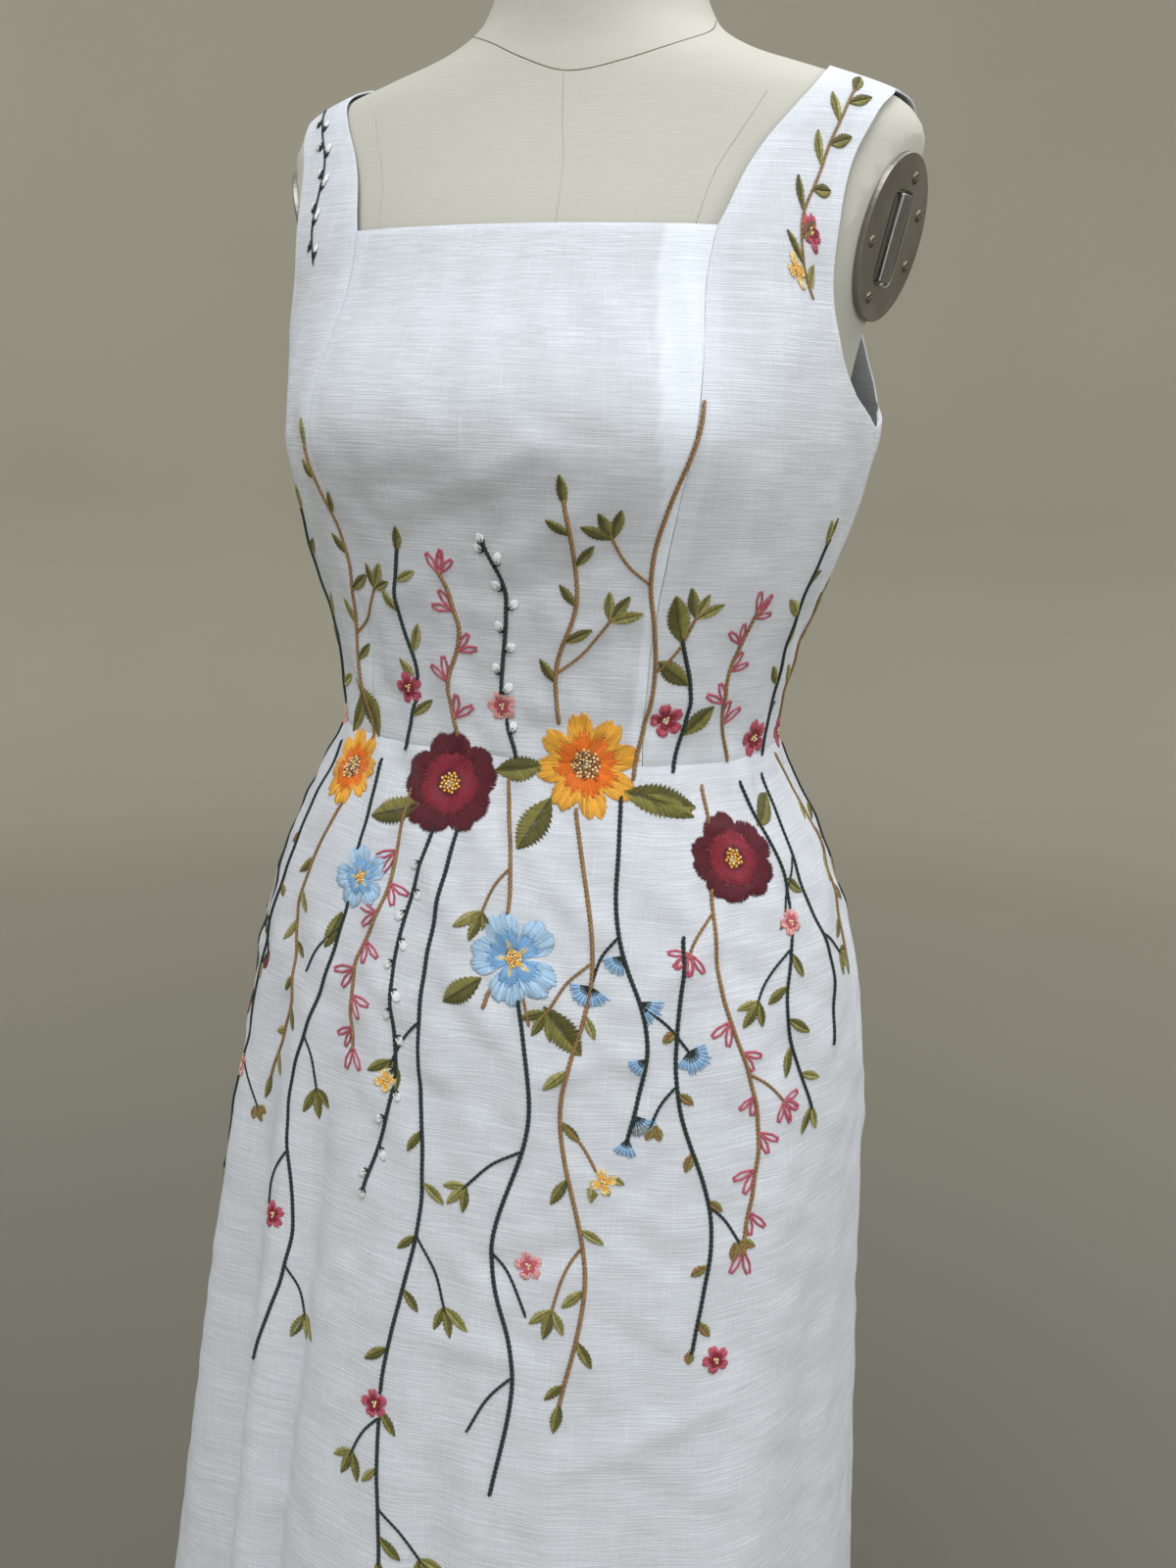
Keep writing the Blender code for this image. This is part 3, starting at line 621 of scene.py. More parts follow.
class NodeBench:
    """Places shader nodes in a tree and joins them."""

    def __init__(self, tree: NodeTree) -> None:
        """Takes the tree to work in."""
        self.tree = tree

    def set(self, node: Node, inputs: dict) -> None:
        """Sets a node's inputs.

        Args:
            node: the node.
            inputs: a value or a socket to join, by input.
        """
        for key, value in inputs.items():
            if isinstance(value, NodeSocket):
                self.tree.links.new(value, node.inputs[key])
            else:
                node.inputs[key].default_value = value

    def add(self, kind: str, inputs: dict | None = None, **settings: object) -> Node:
        """Adds a node.

        Args:
            kind: the node's type.
            inputs: a value or a socket to join, by input.
            settings: the node's own settings.

        Returns:
            The node.
        """
        node = self.tree.nodes.new(kind)
        for key, value in settings.items():
            setattr(node, key, value)
        self.set(node, inputs or {})
        return node

    def group(self, name: str, inputs: dict) -> Node:
        """One of the shared effects, placed in the material."""
        return self.add("ShaderNodeGroup", inputs, node_tree=GROUPS[name])

    def places(self) -> NodeSocket:
        """Places on the piece, in metres."""
        return self.add("ShaderNodeTexCoord").outputs["Object"]

    def math(self, operation: str, *values: object) -> NodeSocket:
        """The result of a Math node."""
        return self.add("ShaderNodeMath", dict(enumerate(values)), operation=operation).outputs[0]

    def mix(self, factor: object, first: object, second: object) -> NodeSocket:
        """A mix of two colours."""
        inputs = {0: factor, 6: first, 7: second}
        return self.add("ShaderNodeMix", inputs, data_type="RGBA").outputs[2]

    def scaled(self, colour: NodeSocket, share: NodeSocket) -> NodeSocket:
        """A colour times a value."""
        inputs = {0: colour, 1: share}
        return self.add("ShaderNodeVectorMath", inputs, operation="MULTIPLY").outputs[0]

    def noise(self, vector: object, scale: object, detail: float = 2.0) -> NodeSocket:
        """The value of a noise texture."""
        inputs = {"Vector": vector, "Scale": scale, "Detail": detail}
        return self.add("ShaderNodeTexNoise", inputs).outputs[0]

    def ramp(self, value: object, low: float, high: float) -> NodeSocket:
        """0 below low, 1 above high, smooth between."""
        inputs = {0: value, 1: low, 2: high}
        return self.add("ShaderNodeMapRange", inputs, interpolation_type="SMOOTHSTEP").outputs[0]

    def bump(self, strength: float, distance: float, height: NodeSocket) -> NodeSocket:
        """The normals of a surface that a height raises."""
        inputs = {"Strength": strength, "Distance": distance, "Height": height}
        return self.add("ShaderNodeBump", inputs).outputs[0]


def shader_group(
    name: str, inputs: dict[str, tuple[str, object]], outputs: tuple[str, ...]
) -> tuple[NodeBench, Node, Node]:
    """Starts a shader node group.

    Args:
        name: the group's name.
        inputs: kind of socket and default value, by name.
        outputs: names of the values that it puts out.

    Returns:
        The bench to work on, the input node and the output node.
    """
    group = bpy.data.node_groups.new(name, "ShaderNodeTree")
    for label, (kind, value) in inputs.items():
        socket = group.interface.new_socket(label, in_out="INPUT", socket_type=kind)
        if value is not None:
            socket.default_value = value
    for label in outputs:
        group.interface.new_socket(label, in_out="OUTPUT", socket_type="NodeSocketFloat")
    bench = NodeBench(group)
    return bench, bench.add("NodeGroupInput"), bench.add("NodeGroupOutput")


def slub_weave() -> NodeTree:
    """A plain weave of uneven threads.

    Returns:
        The group, which puts out the weave's tone from 0 to 1 and its height.
    """
    bench, given, result = shader_group(
        "slub_weave",
        {"Vector": ("NodeSocketVector", None), "Threads": ("NodeSocketFloat", 1900.0),
         "Slubs": ("NodeSocketFloat", 1.0)},
        ("Tone", "Height"),
    )
    split = bench.add("ShaderNodeSeparateXYZ", {0: given.outputs["Vector"]})
    u = bench.math("MULTIPLY", split.outputs[0], given.outputs["Threads"])
    v = bench.math("MULTIPLY", split.outputs[1], given.outputs["Threads"])

    def warp_threads(stretch: float, seed: float) -> NodeSocket:
        """Noise drawn out along the warp."""
        inputs = {0: u, 1: bench.math("MULTIPLY", v, stretch), 2: seed}
        return bench.noise(bench.add("ShaderNodeCombineXYZ", inputs).outputs[0], 1.0, 1.5)

    def weft_threads(stretch: float, seed: float) -> NodeSocket:
        """Noise drawn out along the weft."""
        inputs = {0: bench.math("MULTIPLY", u, stretch), 1: v, 2: seed}
        return bench.noise(bench.add("ShaderNodeCombineXYZ", inputs).outputs[0], 1.0, 1.5)

    warp = bench.ramp(warp_threads(0.03, 1.5), 0.36, 0.64)
    weft = bench.ramp(weft_threads(0.022, 7.5), 0.36, 0.64)
    slub_weft = bench.ramp(weft_threads(0.017, 3.5), 0.62, 0.7)
    slub_warp = bench.ramp(warp_threads(0.014, 5.5), 0.65, 0.72)
    thin_weft = bench.ramp(weft_threads(0.026, 9.5), 0.64, 0.72)
    patches = bench.ramp(bench.noise(given.outputs["Vector"], 38.0), 0.3, 0.7)
    thickest = bench.math("MAXIMUM", slub_weft, slub_warp)
    slubs = bench.math("MULTIPLY", thickest, given.outputs["Slubs"])
    slubs = bench.math("MULTIPLY", slubs, bench.math("MULTIPLY_ADD", patches, 0.75, 0.25))
    thin = bench.math("MULTIPLY", thin_weft, given.outputs["Slubs"])
    over = bench.math("SINE", bench.math("MULTIPLY", u, math.pi))
    under = bench.math("SINE", bench.math("MULTIPLY", v, math.pi))
    crossing = bench.math("MULTIPLY", over, under)
    warp_share = bench.math("MULTIPLY", warp, 0.14)
    cloth = bench.math("MULTIPLY_ADD", weft, 0.34, bench.math("ADD", warp_share, 0.18))
    tone = bench.math("MULTIPLY_ADD", slubs, 0.5, bench.math("MULTIPLY_ADD", thin, -0.22, cloth))
    height = bench.math("MULTIPLY_ADD", crossing, 0.1, tone)
    bench.set(result, {"Tone": tone, "Height": height})
    return bench.tree


def mottle() -> NodeTree:
    """Soft clouds with fine grain in them.

    Returns:
        The group, which puts out their value from 0 to 1.
    """
    bench, given, result = shader_group(
        "mottle",
        {"Vector": ("NodeSocketVector", None), "Cloud": ("NodeSocketFloat", 12.0),
         "Grain": ("NodeSocketFloat", 0.25)},
        ("Value",),
    )
    cloud = bench.noise(given.outputs["Vector"], given.outputs["Cloud"], 3.0)
    fine = bench.noise(given.outputs["Vector"], 900.0)
    grain = bench.math("MULTIPLY", bench.math("SUBTRACT", fine, 0.5), given.outputs["Grain"])
    bench.set(result, {"Value": bench.math("ADD", bench.ramp(cloud, 0.25, 0.75), grain)})
    return bench.tree


@dataclass(frozen=True)
class Finish:
    """What each finish's material starts from."""

    name: str
    colour: Triple
    roughness: float

    def start(self) -> tuple[Material, NodeBench, Node]:
        """Starts the material.

        Returns:
            The material, the bench on its tree, and its shader.
        """
        material = bpy.data.materials.new(self.name)
        material.use_nodes = True
        bench = NodeBench(material.node_tree)
        shader = material.node_tree.nodes["Principled BSDF"]
        bench.set(shader, {"Roughness": self.roughness})
        return material, bench, shader

    def rgba(self, factor: float = 1.0) -> tuple[float, float, float, float]:
        """The colour, lighter or darker."""
        return (*(min(1.0, value * factor) for value in self.colour), 1.0)


@dataclass(frozen=True)
class WovenFinish(Finish):
    """Woven cloth: linen or canvas."""

    doubled: Triple = (0.76, 0.83, 0.92)
    threads: float = 1900.0
    slubs: float = 1.0
    contrast: float = 0.26
    bump: float = 0.55
    sheen: float = 0.15
    clouds: float = 0.08

    def make(self) -> Material:
        """Makes the material.

        Returns:
            It, with threads that follow the piece's own UV map.
        """
        material, bench, shader = self.start()
        uv = bench.add("ShaderNodeUVMap", uv_map="cloth").outputs[0]
        threads = {"Vector": uv, "Threads": self.threads, "Slubs": self.slubs}
        weave = bench.group("slub_weave", threads).outputs
        clouds = bench.group("mottle", {"Vector": bench.places(), "Cloud": 14.0, "Grain": 0.1})
        layers = bench.add("ShaderNodeAttribute", attribute_name="layers").outputs["Fac"]
        tone = bench.ramp(weave["Tone"], 0.12, 1.05)
        base = bench.mix(tone, self.rgba(1 - self.contrast), self.rgba(1 + self.contrast / 2))
        aged = bench.mix(clouds.outputs["Value"], self.rgba(1 - self.clouds), self.rgba())
        base = bench.mix(0.35, base, aged)
        double = bench.mix(tone, (*(0.93 * c for c in self.doubled), 1), (*self.doubled, 1))
        bench.set(shader, {
            "Base Color": bench.mix(bench.math("MULTIPLY", layers, 0.75), base, double),
            "Roughness": bench.math("MULTIPLY_ADD", tone, -0.1, self.roughness),
            "Normal": bench.bump(self.bump, 0.0006, weave["Height"]),
            "Sheen Weight": self.sheen,
            "Sheen Roughness": 0.6,
            "Specular IOR Level": 0.25,
        })
        return material


@dataclass(frozen=True)
class ThreadFinish(Finish):
    """Stranded embroidery cotton, in each stitch's own colour."""

    twist: float = 0.0011

    def make(self) -> Material:
        """Makes the material.

        Returns:
            It, with a twist that runs along each stitch, in its bump and as painted shade and
            highlight in its colour.
        """
        material, bench, shader = self.start()
        colour = bench.add("ShaderNodeAttribute", attribute_name="thread_colour")
        uv = bench.add("ShaderNodeUVMap", uv_map="thread").outputs[0]
        split = bench.add("ShaderNodeSeparateXYZ", {0: uv})
        turn = bench.math("MULTIPLY_ADD", split.outputs[1], 1 / self.twist, split.outputs[0])
        ply = bench.math("SINE", bench.math("MULTIPLY", turn, 2 * math.pi))
        # The ply's sine also darkens and lightens the colour along the twist: painted shade in its
        # grooves and painted highlight on its ridges.
        light = bench.math("MULTIPLY_ADD", ply, 0.16, 0.92)
        fleck = bench.group("mottle", {"Vector": bench.places(), "Cloud": 260.0, "Grain": 0.5})
        shade = bench.math("MULTIPLY_ADD", fleck.outputs["Value"], 0.16, light)
        bench.set(shader, {
            "Base Color": bench.scaled(colour.outputs["Color"], shade),
            "Normal": bench.bump(0.45, 0.0004, ply),
            "Sheen Weight": 0.1,
            "Specular IOR Level": 0.35,
        })
        return material


@dataclass(frozen=True)
class HardFinish(Finish):
    """Metal or paint, with clouds and fine grain in its colour and gloss."""

    metallic: float = 0.0
    cloud: float = 30.0
    grain: float = 0.3
    spread: float = 0.25
    stretch: Triple = (1.0, 1.0, 1.0)

    def make(self) -> Material:
        """Makes the material.

        Returns:
            It, clouded all over.
        """
        material, bench, shader = self.start()
        drawn = bench.add("ShaderNodeMapping", {"Vector": bench.places(), "Scale": self.stretch})
        inputs = {"Vector": drawn.outputs[0], "Cloud": self.cloud, "Grain": self.grain}
        value = bench.group("mottle", inputs).outputs["Value"]
        bench.set(shader, {
            "Base Color": bench.mix(value, self.rgba(1 - self.spread), self.rgba(1 + self.spread / 2)),
            "Roughness": bench.math("MULTIPLY_ADD", value, 0.14, self.roughness - 0.07),
            "Normal": bench.bump(0.08, 0.0003, value),
            "Metallic": self.metallic,
        })
        return material


GROUPS = {"slub_weave": slub_weave(), "mottle": mottle()}
LINEN = WovenFinish("linen", (0.668, 0.704, 0.765), 0.9)
CANVAS = WovenFinish(
    "canvas", (0.485, 0.48, 0.425), 0.88, threads=2600.0, slubs=0.15, contrast=0.06,
    bump=0.18, sheen=0.05, clouds=0.05,
)
THREAD = ThreadFinish("embroidery_cotton", (1.0, 1.0, 1.0), 0.42)
PLATE_STEEL = HardFinish("dull_steel", (0.27, 0.255, 0.225), 0.4, 0.85, 22.0, 0.4, 0.25)
LEVER_STEEL = HardFinish(
    "brushed_steel", (0.42, 0.42, 0.41), 0.34, 1.0, 60.0, 0.5, 0.3, (1.0, 1.0, 0.08)
)
SCREW_METAL = HardFinish("screw_steel", (0.2, 0.17, 0.13), 0.34, 1.0, 80.0)
STAND_PAINT = HardFinish("stand_paint", (0.02, 0.02, 0.021), 0.36, 0.3, 9.0)
ENAMEL = HardFinish("zip_enamel", (0.78, 0.79, 0.8), 0.3, 0.1, 90.0, 0.1, 0.06)


@dataclass(frozen=True)
class BodiceCut:
    """The bodice's seam lines on the wearer's left, from the waist up."""

    # across, forward, height
    front_princess: Rows = (
        (0.0765, 0.083, 1.06), (0.081, 0.088, 1.11), (0.093, 0.1, 1.17),
        (0.108, 0.11, 1.235), (0.107, 0.092, 1.285), (0.103, 0.068, 1.335),
    )
    front_strap_inner: Rows = (
        (0.113, 0.053, 1.363), (0.121, 0.034, 1.389), (0.131, 0.011, 1.412),
        (0.139, -0.012, 1.425),
    )
    side_seam: Rows = (
        (0.129, -0.004, 1.06), (0.135, -0.005, 1.11), (0.151, -0.006, 1.17),
        (0.166, -0.008, 1.24),
    )
    front_armhole: Rows = (
        (0.17, 0.02, 1.25), (0.168, 0.04, 1.274), (0.164, 0.045, 1.308),
        (0.164, 0.04, 1.343), (0.168, 0.028, 1.373), (0.175, 0.009, 1.4),
        (0.181, -0.012, 1.413),
    )
    back_princess: Rows = (
        (0.058, -0.072, 1.06), (0.062, -0.078, 1.11), (0.073, -0.088, 1.17),
        (0.085, -0.094, 1.235), (0.093, -0.099, 1.3), (0.099, -0.096, 1.365),
    )
    back_strap_inner: Rows = (
        (0.108, -0.085, 1.39), (0.124, -0.054, 1.412), (0.139, -0.0125, 1.425),
    )
    back_armhole: Rows = (
        (0.17, -0.04, 1.252), (0.169, -0.064, 1.288), (0.168, -0.076, 1.328),
        (0.169, -0.072, 1.364), (0.174, -0.048, 1.398), (0.181, -0.0125, 1.413),
    )

    @staticmethod
    def line(lower: Rows, upper: Rows = (), low_count: int = 53, up_count: int = 0) -> Array:
        """Points along a seam line, of one or two parts.

        Args:
            lower: the rows of the first part.
            upper: the rows of the second part, which starts where the first ends.
            low_count: points in the first part.
            up_count: more points in the second.

        Returns:
            The points.
        """
        first = line_through(np.array(lower) * (1, -1, 1), low_count)
        if not upper:
            return first
        second = line_through(np.array((lower[-1], *upper)) * (1, -1, 1), up_count + 1)
        return np.concatenate([first, second[1:]])


def onto_bodice(points: Array) -> Array:
    """The points moved onto the bodice's inner side, level up to the back neckline.

    Args:
        points: places near the bodice.

    Returns:
        Places on it, without its creases.
    """
    middle = np.zeros_like(points)
    middle[..., 2] = np.minimum(points[..., 2], BACK_NECKLINE)
    ray = points - middle
    low, high = np.full(points.shape[:-1], 0.5), np.full(points.shape[:-1], 1.6)
    for _ in range(36):
        mean = (low + high) / 2
        trial = middle + ray * mean[..., None]
        behind = trial[..., 1] - FORM.set_back(trial[..., 2])
        azimuth = np.arctan2(trial[..., 0], -behind)
        outside = np.hypot(trial[..., 0], behind) > CLOTH.bodice_radius(azimuth, trial[..., 2])
        high = np.where(outside, mean, high)
        low = np.where(outside, low, mean)
    return middle + ray * low[..., None]


@dataclass
class ClothPanel:
    """One sewn piece of the dress."""

    name: str
    smooth_grid: Array
    # how far cloth lies double along the right, left, bottom and top
    doubled: tuple[float, float, float, float] = (0.011, 0.011, 0.011, 0.008)
    # height and width of a broad allowance on the left
    band: Rows | None = None
    level_grain: bool = True
    show_blur: float = 0.0016
    faint: float = 0.3
    grain_radius: float = 0.15

    def creased(self) -> Array:
        """Creases the panel.

        Returns:
            Its grid with the creases and the set-in of its thickness.
        """
        points = self.smooth_grid
        azimuth, height = azimuth_of(points), points[..., 2]
        out = np.stack([np.sin(azimuth), -np.cos(azimuth), 0 * azimuth], axis=-1)
        points = points + out * CLOTH.relief(azimuth, height)[..., None]
        return points + self.normals(points) * (CLOTH_OUTSIDE - CLOTH_THICKNESS)

    @staticmethod
    def normals(points: Array) -> Array:
        """Outward directions at a grid's points."""
        normal = np.cross(np.gradient(points, axis=1), np.gradient(points, axis=0))
        return normal / np.linalg.norm(normal, axis=-1, keepdims=True)

    def trimmed(self, points: Array) -> Array:
        """Moves a grid's sewn sides half a seam gap further in.

        Args:
            points: the grid.

        Returns:
            The trimmed one.
        """
        points = points.copy()
        for edge, inside in ((0, 1), (-1, -2)):
            step = points[:, inside] - points[:, edge]
            share = SEAM_GAP / 2 / np.linalg.norm(step, axis=1, keepdims=True)
            points[:, edge] += step * share
        return points

    def layers(self) -> Array:
        """Where seam allowances and turned edges lie double under the cloth.

        Returns:
            How much they show through, from 0 to 1.
        """
        grid = self.smooth_grid
        across, up = lengths(grid, 1), lengths(grid, 0)
        height = grid[..., 2]
        right, left, bottom, top = self.doubled
        left_width = np.full(height.shape, left)
        if self.band:
            left_width = np.interp(height, *np.array(self.band).T)
        runs = (
            (across, right), (across[:, -1:] - across, left_width),
            (up, bottom), (up[-1:] - up, top),
        )
        shows = [np.clip((width - run) / self.show_blur + 0.5, 0, 1) for run, width in runs]
        strength = (self.faint, 1.0 if self.band else self.faint, self.faint, self.faint)
        return np.max([share * show for share, show in zip(strength, shows)], axis=0)

    def grain(self) -> Array:
        """Finds the way that the cloth's threads run.

        Returns:
            Places along them, in metres.
        """
        grid = self.smooth_grid
        if not self.level_grain:
            across = lengths(grid, 1)
            middle = across[:, across.shape[1] // 2][:, None]
            return np.stack([across - middle, lengths(grid, 0)], axis=-1)
        azimuth = np.unwrap(azimuth_of(grid), axis=1)
        levels = np.linspace(WAIST, grid[..., 2].max(), 200)
        profile = CLOTH.bodice_radius(np.full(levels.shape, np.median(azimuth)), levels)
        run = lengths(np.stack([levels, profile], axis=-1), 0)
        up = np.interp(grid[..., 2], levels, run)
        return np.stack([azimuth * self.grain_radius, up], axis=-1)

    def build(self, linen: Material, rests_on: str) -> Object:
        """Makes the panel as a thin shell with folded edges.

        Args:
            linen: its material.
            rests_on: not used.

        Returns:
            The object, which stands for the CAD node of its name.
        """
        points = self.trimmed(self.creased())
        mesh = smooth(grid_mesh(self.name, points))
        paint_uv(mesh, "cloth", self.grain())
        layer = mesh.attributes.new("layers", "FLOAT", "POINT")
        layer.data.foreach_set("value", self.layers().astype(np.float32).ravel())
        piece = place_object(f"{self.name}_cloth", mesh, linen, (self.name,))
        wall = piece.modifiers.new("cloth", "SOLIDIFY")
        wall.thickness = CLOTH_THICKNESS
        wall.offset = 1
        fold = piece.modifiers.new("folded_edge", "BEVEL")
        fold.width = FOLD_WIDTH
        fold.segments = 2
        fold.limit_method = "ANGLE"
        fold.angle_limit = math.radians(60)
        return piece

    def mirrored(self) -> "ClothPanel":
        """Mirrors the panel.

        Returns:
            The same panel on the wearer's right.
        """
        grid = self.smooth_grid[:, ::-1] * (-1, 1, 1)
        right, left, bottom, top = self.doubled
        name = self.name.replace("left", "right")
        return replace(self, name=name, smooth_grid=grid, doubled=(left, right, bottom, top))


@dataclass
class Dress:
    """The bodice's seven panels and the skirt's three."""

    cut: BodiceCut
    columns: int = 33
    centre_columns: int = 61
    back_columns: int = 29
    strap_doubled: tuple[float, float, float, float] = (0.009, 0.009, 0.011, 0.008)
    # height and width of the broad allowance behind the left princess seam
    band: Rows = ((1.06, 0.006), (1.19, 0.006), (1.235, 0.018), (1.335, 0.027))
    # name, first and last azimuth, columns
    spans: tuple[tuple[str, float, float, int], ...] = (
        ("skirt_front", -92, 92, 201), ("skirt_back_left", 92, 180, 97),
        ("skirt_back_right", 180, 268, 97),
    )
    skirt_rows: int = 215
    fall: float = 0.8

    @staticmethod
    def between(first: Array, last: Array, columns: int) -> Array:
        """Lays a grid on the bodice.

        Args:
            first: the points of its first edge.
            last: the points of its last edge.
            columns: how many columns it has.

        Returns:
            The grid.
        """
        first, last = onto_bodice(first), onto_bodice(last)
        share = np.linspace(0, 1, columns)[None, :, None]
        return onto_bodice(first[:, None, :] * (1 - share) + last[:, None, :] * share)

    def front_side(self) -> ClothPanel:
        """Shapes the side-front panel with its strap.

        Returns:
            The one on the wearer's left.
        """
        cut = self.cut
        inner = cut.line(cut.front_princess, cut.front_strap_inner, 53, 36)
        outer = cut.line(cut.side_seam, cut.front_armhole, 41, 48)
        grid = self.between(inner, outer, self.columns)
        return ClothPanel("bodice_front_side_left", grid, self.strap_doubled)

    def bodice(self) -> list[ClothPanel]:
        """Shapes the bodice.

        Returns:
            Its panels.
        """
        cut = self.cut
        left = cut.line(cut.front_princess)
        centre = ClothPanel(
            "bodice_front_center", self.between(left * (-1, 1, 1), left, self.centre_columns),
            (0.01, 0.01, 0.011, 0.004), self.band,
        )
        outer = cut.line(cut.side_seam, cut.back_armhole, 41, 48)
        inner = cut.line(cut.back_princess, cut.back_strap_inner, 61, 28)
        back_side = ClothPanel(
            "bodice_back_side_left", self.between(outer, inner, self.columns), self.strap_doubled
        )
        edge = cut.line(cut.back_princess, low_count=61)
        middle = line_through([(0, 0.085, WAIST), (0, 0.1, BUST), (0, 0.08, BACK_NECKLINE)], 61)
        middle[:, 0] = 0.00001
        back_centre = ClothPanel(
            "bodice_back_center_left", self.between(edge, middle, self.back_columns),
            (0.011, 0.015, 0.011, 0.008),
        )
        front_side = self.front_side()
        return [
            centre, front_side, front_side.mirrored(), back_side, back_side.mirrored(),
            back_centre, back_centre.mirrored(),
        ]

    def skirt(self) -> list[ClothPanel]:
        """Shapes the skirt.

        Returns:
            Its panels.
        """
        made = []
        fall = np.linspace(0, 1, self.skirt_rows) ** self.fall
        for name, start, end, columns in self.spans:
            azimuth = np.radians(np.linspace(start, end, columns))[None, :]
            height = (HEM + (WAIST - SEAM_GAP - HEM) * fall)[:, None]
            azimuth, height = np.broadcast_arrays(azimuth, height)
            grid = at(CLOTH.skirt_radius(azimuth, height), azimuth, height)
            made.append(ClothPanel(name, grid, (0.011, 0.011, 0.022, 0.011), level_grain=False))
        return made

    def build(self, rests_on: str) -> None:
        """Makes every panel.

        Args:
            rests_on: the piece that carries the dress.
        """
        linen = LINEN.make()
        for panel in self.bodice() + self.skirt():
            panel.build(linen, rests_on)


class Chart:
    """A surface on which stitches are laid, by two coordinates."""

    step: float = 0.0005

    def point(self, first: Array, second: Array) -> Array:
        """The places of some coordinates."""
        raise NotImplementedError

    def frame(self, first: Array, second: Array) -> tuple[Array, ...]:
        """Place, change across, change up and outward direction.

        Args:
            first: coordinates across.
            second: coordinates up.

        Returns:
            The place, the change for each unit across and up, and the unit normal.
        """
        place = self.point(first, second)
        across = (self.point(first + self.step, second) - place) / self.step
        up = (self.point(first, second + self.step) - place) / self.step
        normal = np.cross(across, up)
        return place, across, up, normal / np.linalg.norm(normal, axis=-1, keepdims=True)


class DressChart(Chart):
    """The dress's outer side, by azimuth in radians and height."""

    def point(self, first: Array, second: Array) -> Array:
        """The places of some coordinates."""
        return at(CLOTH.radius(first, second) + CLOTH_OUTSIDE + STITCH_LIFT, first, second)


class FormChart(Chart):
    """The dress form's surface, by azimuth in radians and height."""

    def point(self, first: Array, second: Array) -> Array:
        """The places of some coordinates."""
        return at(FORM.radius(first, second), first, second)


class PanelChart(Chart):
    """A panel's outer side, by shares of its width and length."""

    def __init__(self, panel: ClothPanel) -> None:
        """Takes the panel."""
        points = panel.creased()
        self.grid = points + panel.normals(points) * (CLOTH_THICKNESS + STITCH_LIFT)

    def point(self, first: Array, second: Array) -> Array:
        """The places of some coordinates."""
        up, across = (size - 1 for size in self.grid.shape[:2])
        return between_cells(self.grid, np.clip(first, 0, 1) * across, np.clip(second, 0, 1) * up)


@dataclass(frozen=True)
class Spot:
    """A place on a chart, and the way that is up in it, turned to the left from up."""

    first: float
    second: float
    turn: float = 0.0

    def turned(self, angle: float) -> "Spot":
        """The same place with another way up, in degrees further left."""
        return replace(self, turn=self.turn + math.radians(angle))


def stitch_template(bands: int) -> Mesh:
    """One stitch as a slim closed tube along Z.

    Args:
        bands: how many bands of faces it has.

    Returns:
        Its mesh.
    """
    shape = bmesh.new()
    bmesh.ops.create_uvsphere(shape, u_segments=4, v_segments=bands, radius=1)
    return new_mesh("stitch", shape)


def repeated(template: Mesh, count: int) -> Mesh:
    """A mesh of copies of a template, one after the other.

    Args:
        template: the mesh to repeat.
        count: how many copies.

    Returns:
        The mesh.
    """
    whole, block = bmesh.new(), template.copy()
    while count:
        if count & 1:
            whole.from_mesh(block)
        count >>= 1
        if count:
            pair = bmesh.new()
            pair.from_mesh(block)
            pair.from_mesh(block)
            pair.to_mesh(block)
            pair.free()
    bpy.data.meshes.remove(block)
    return new_mesh("stitches", whole)


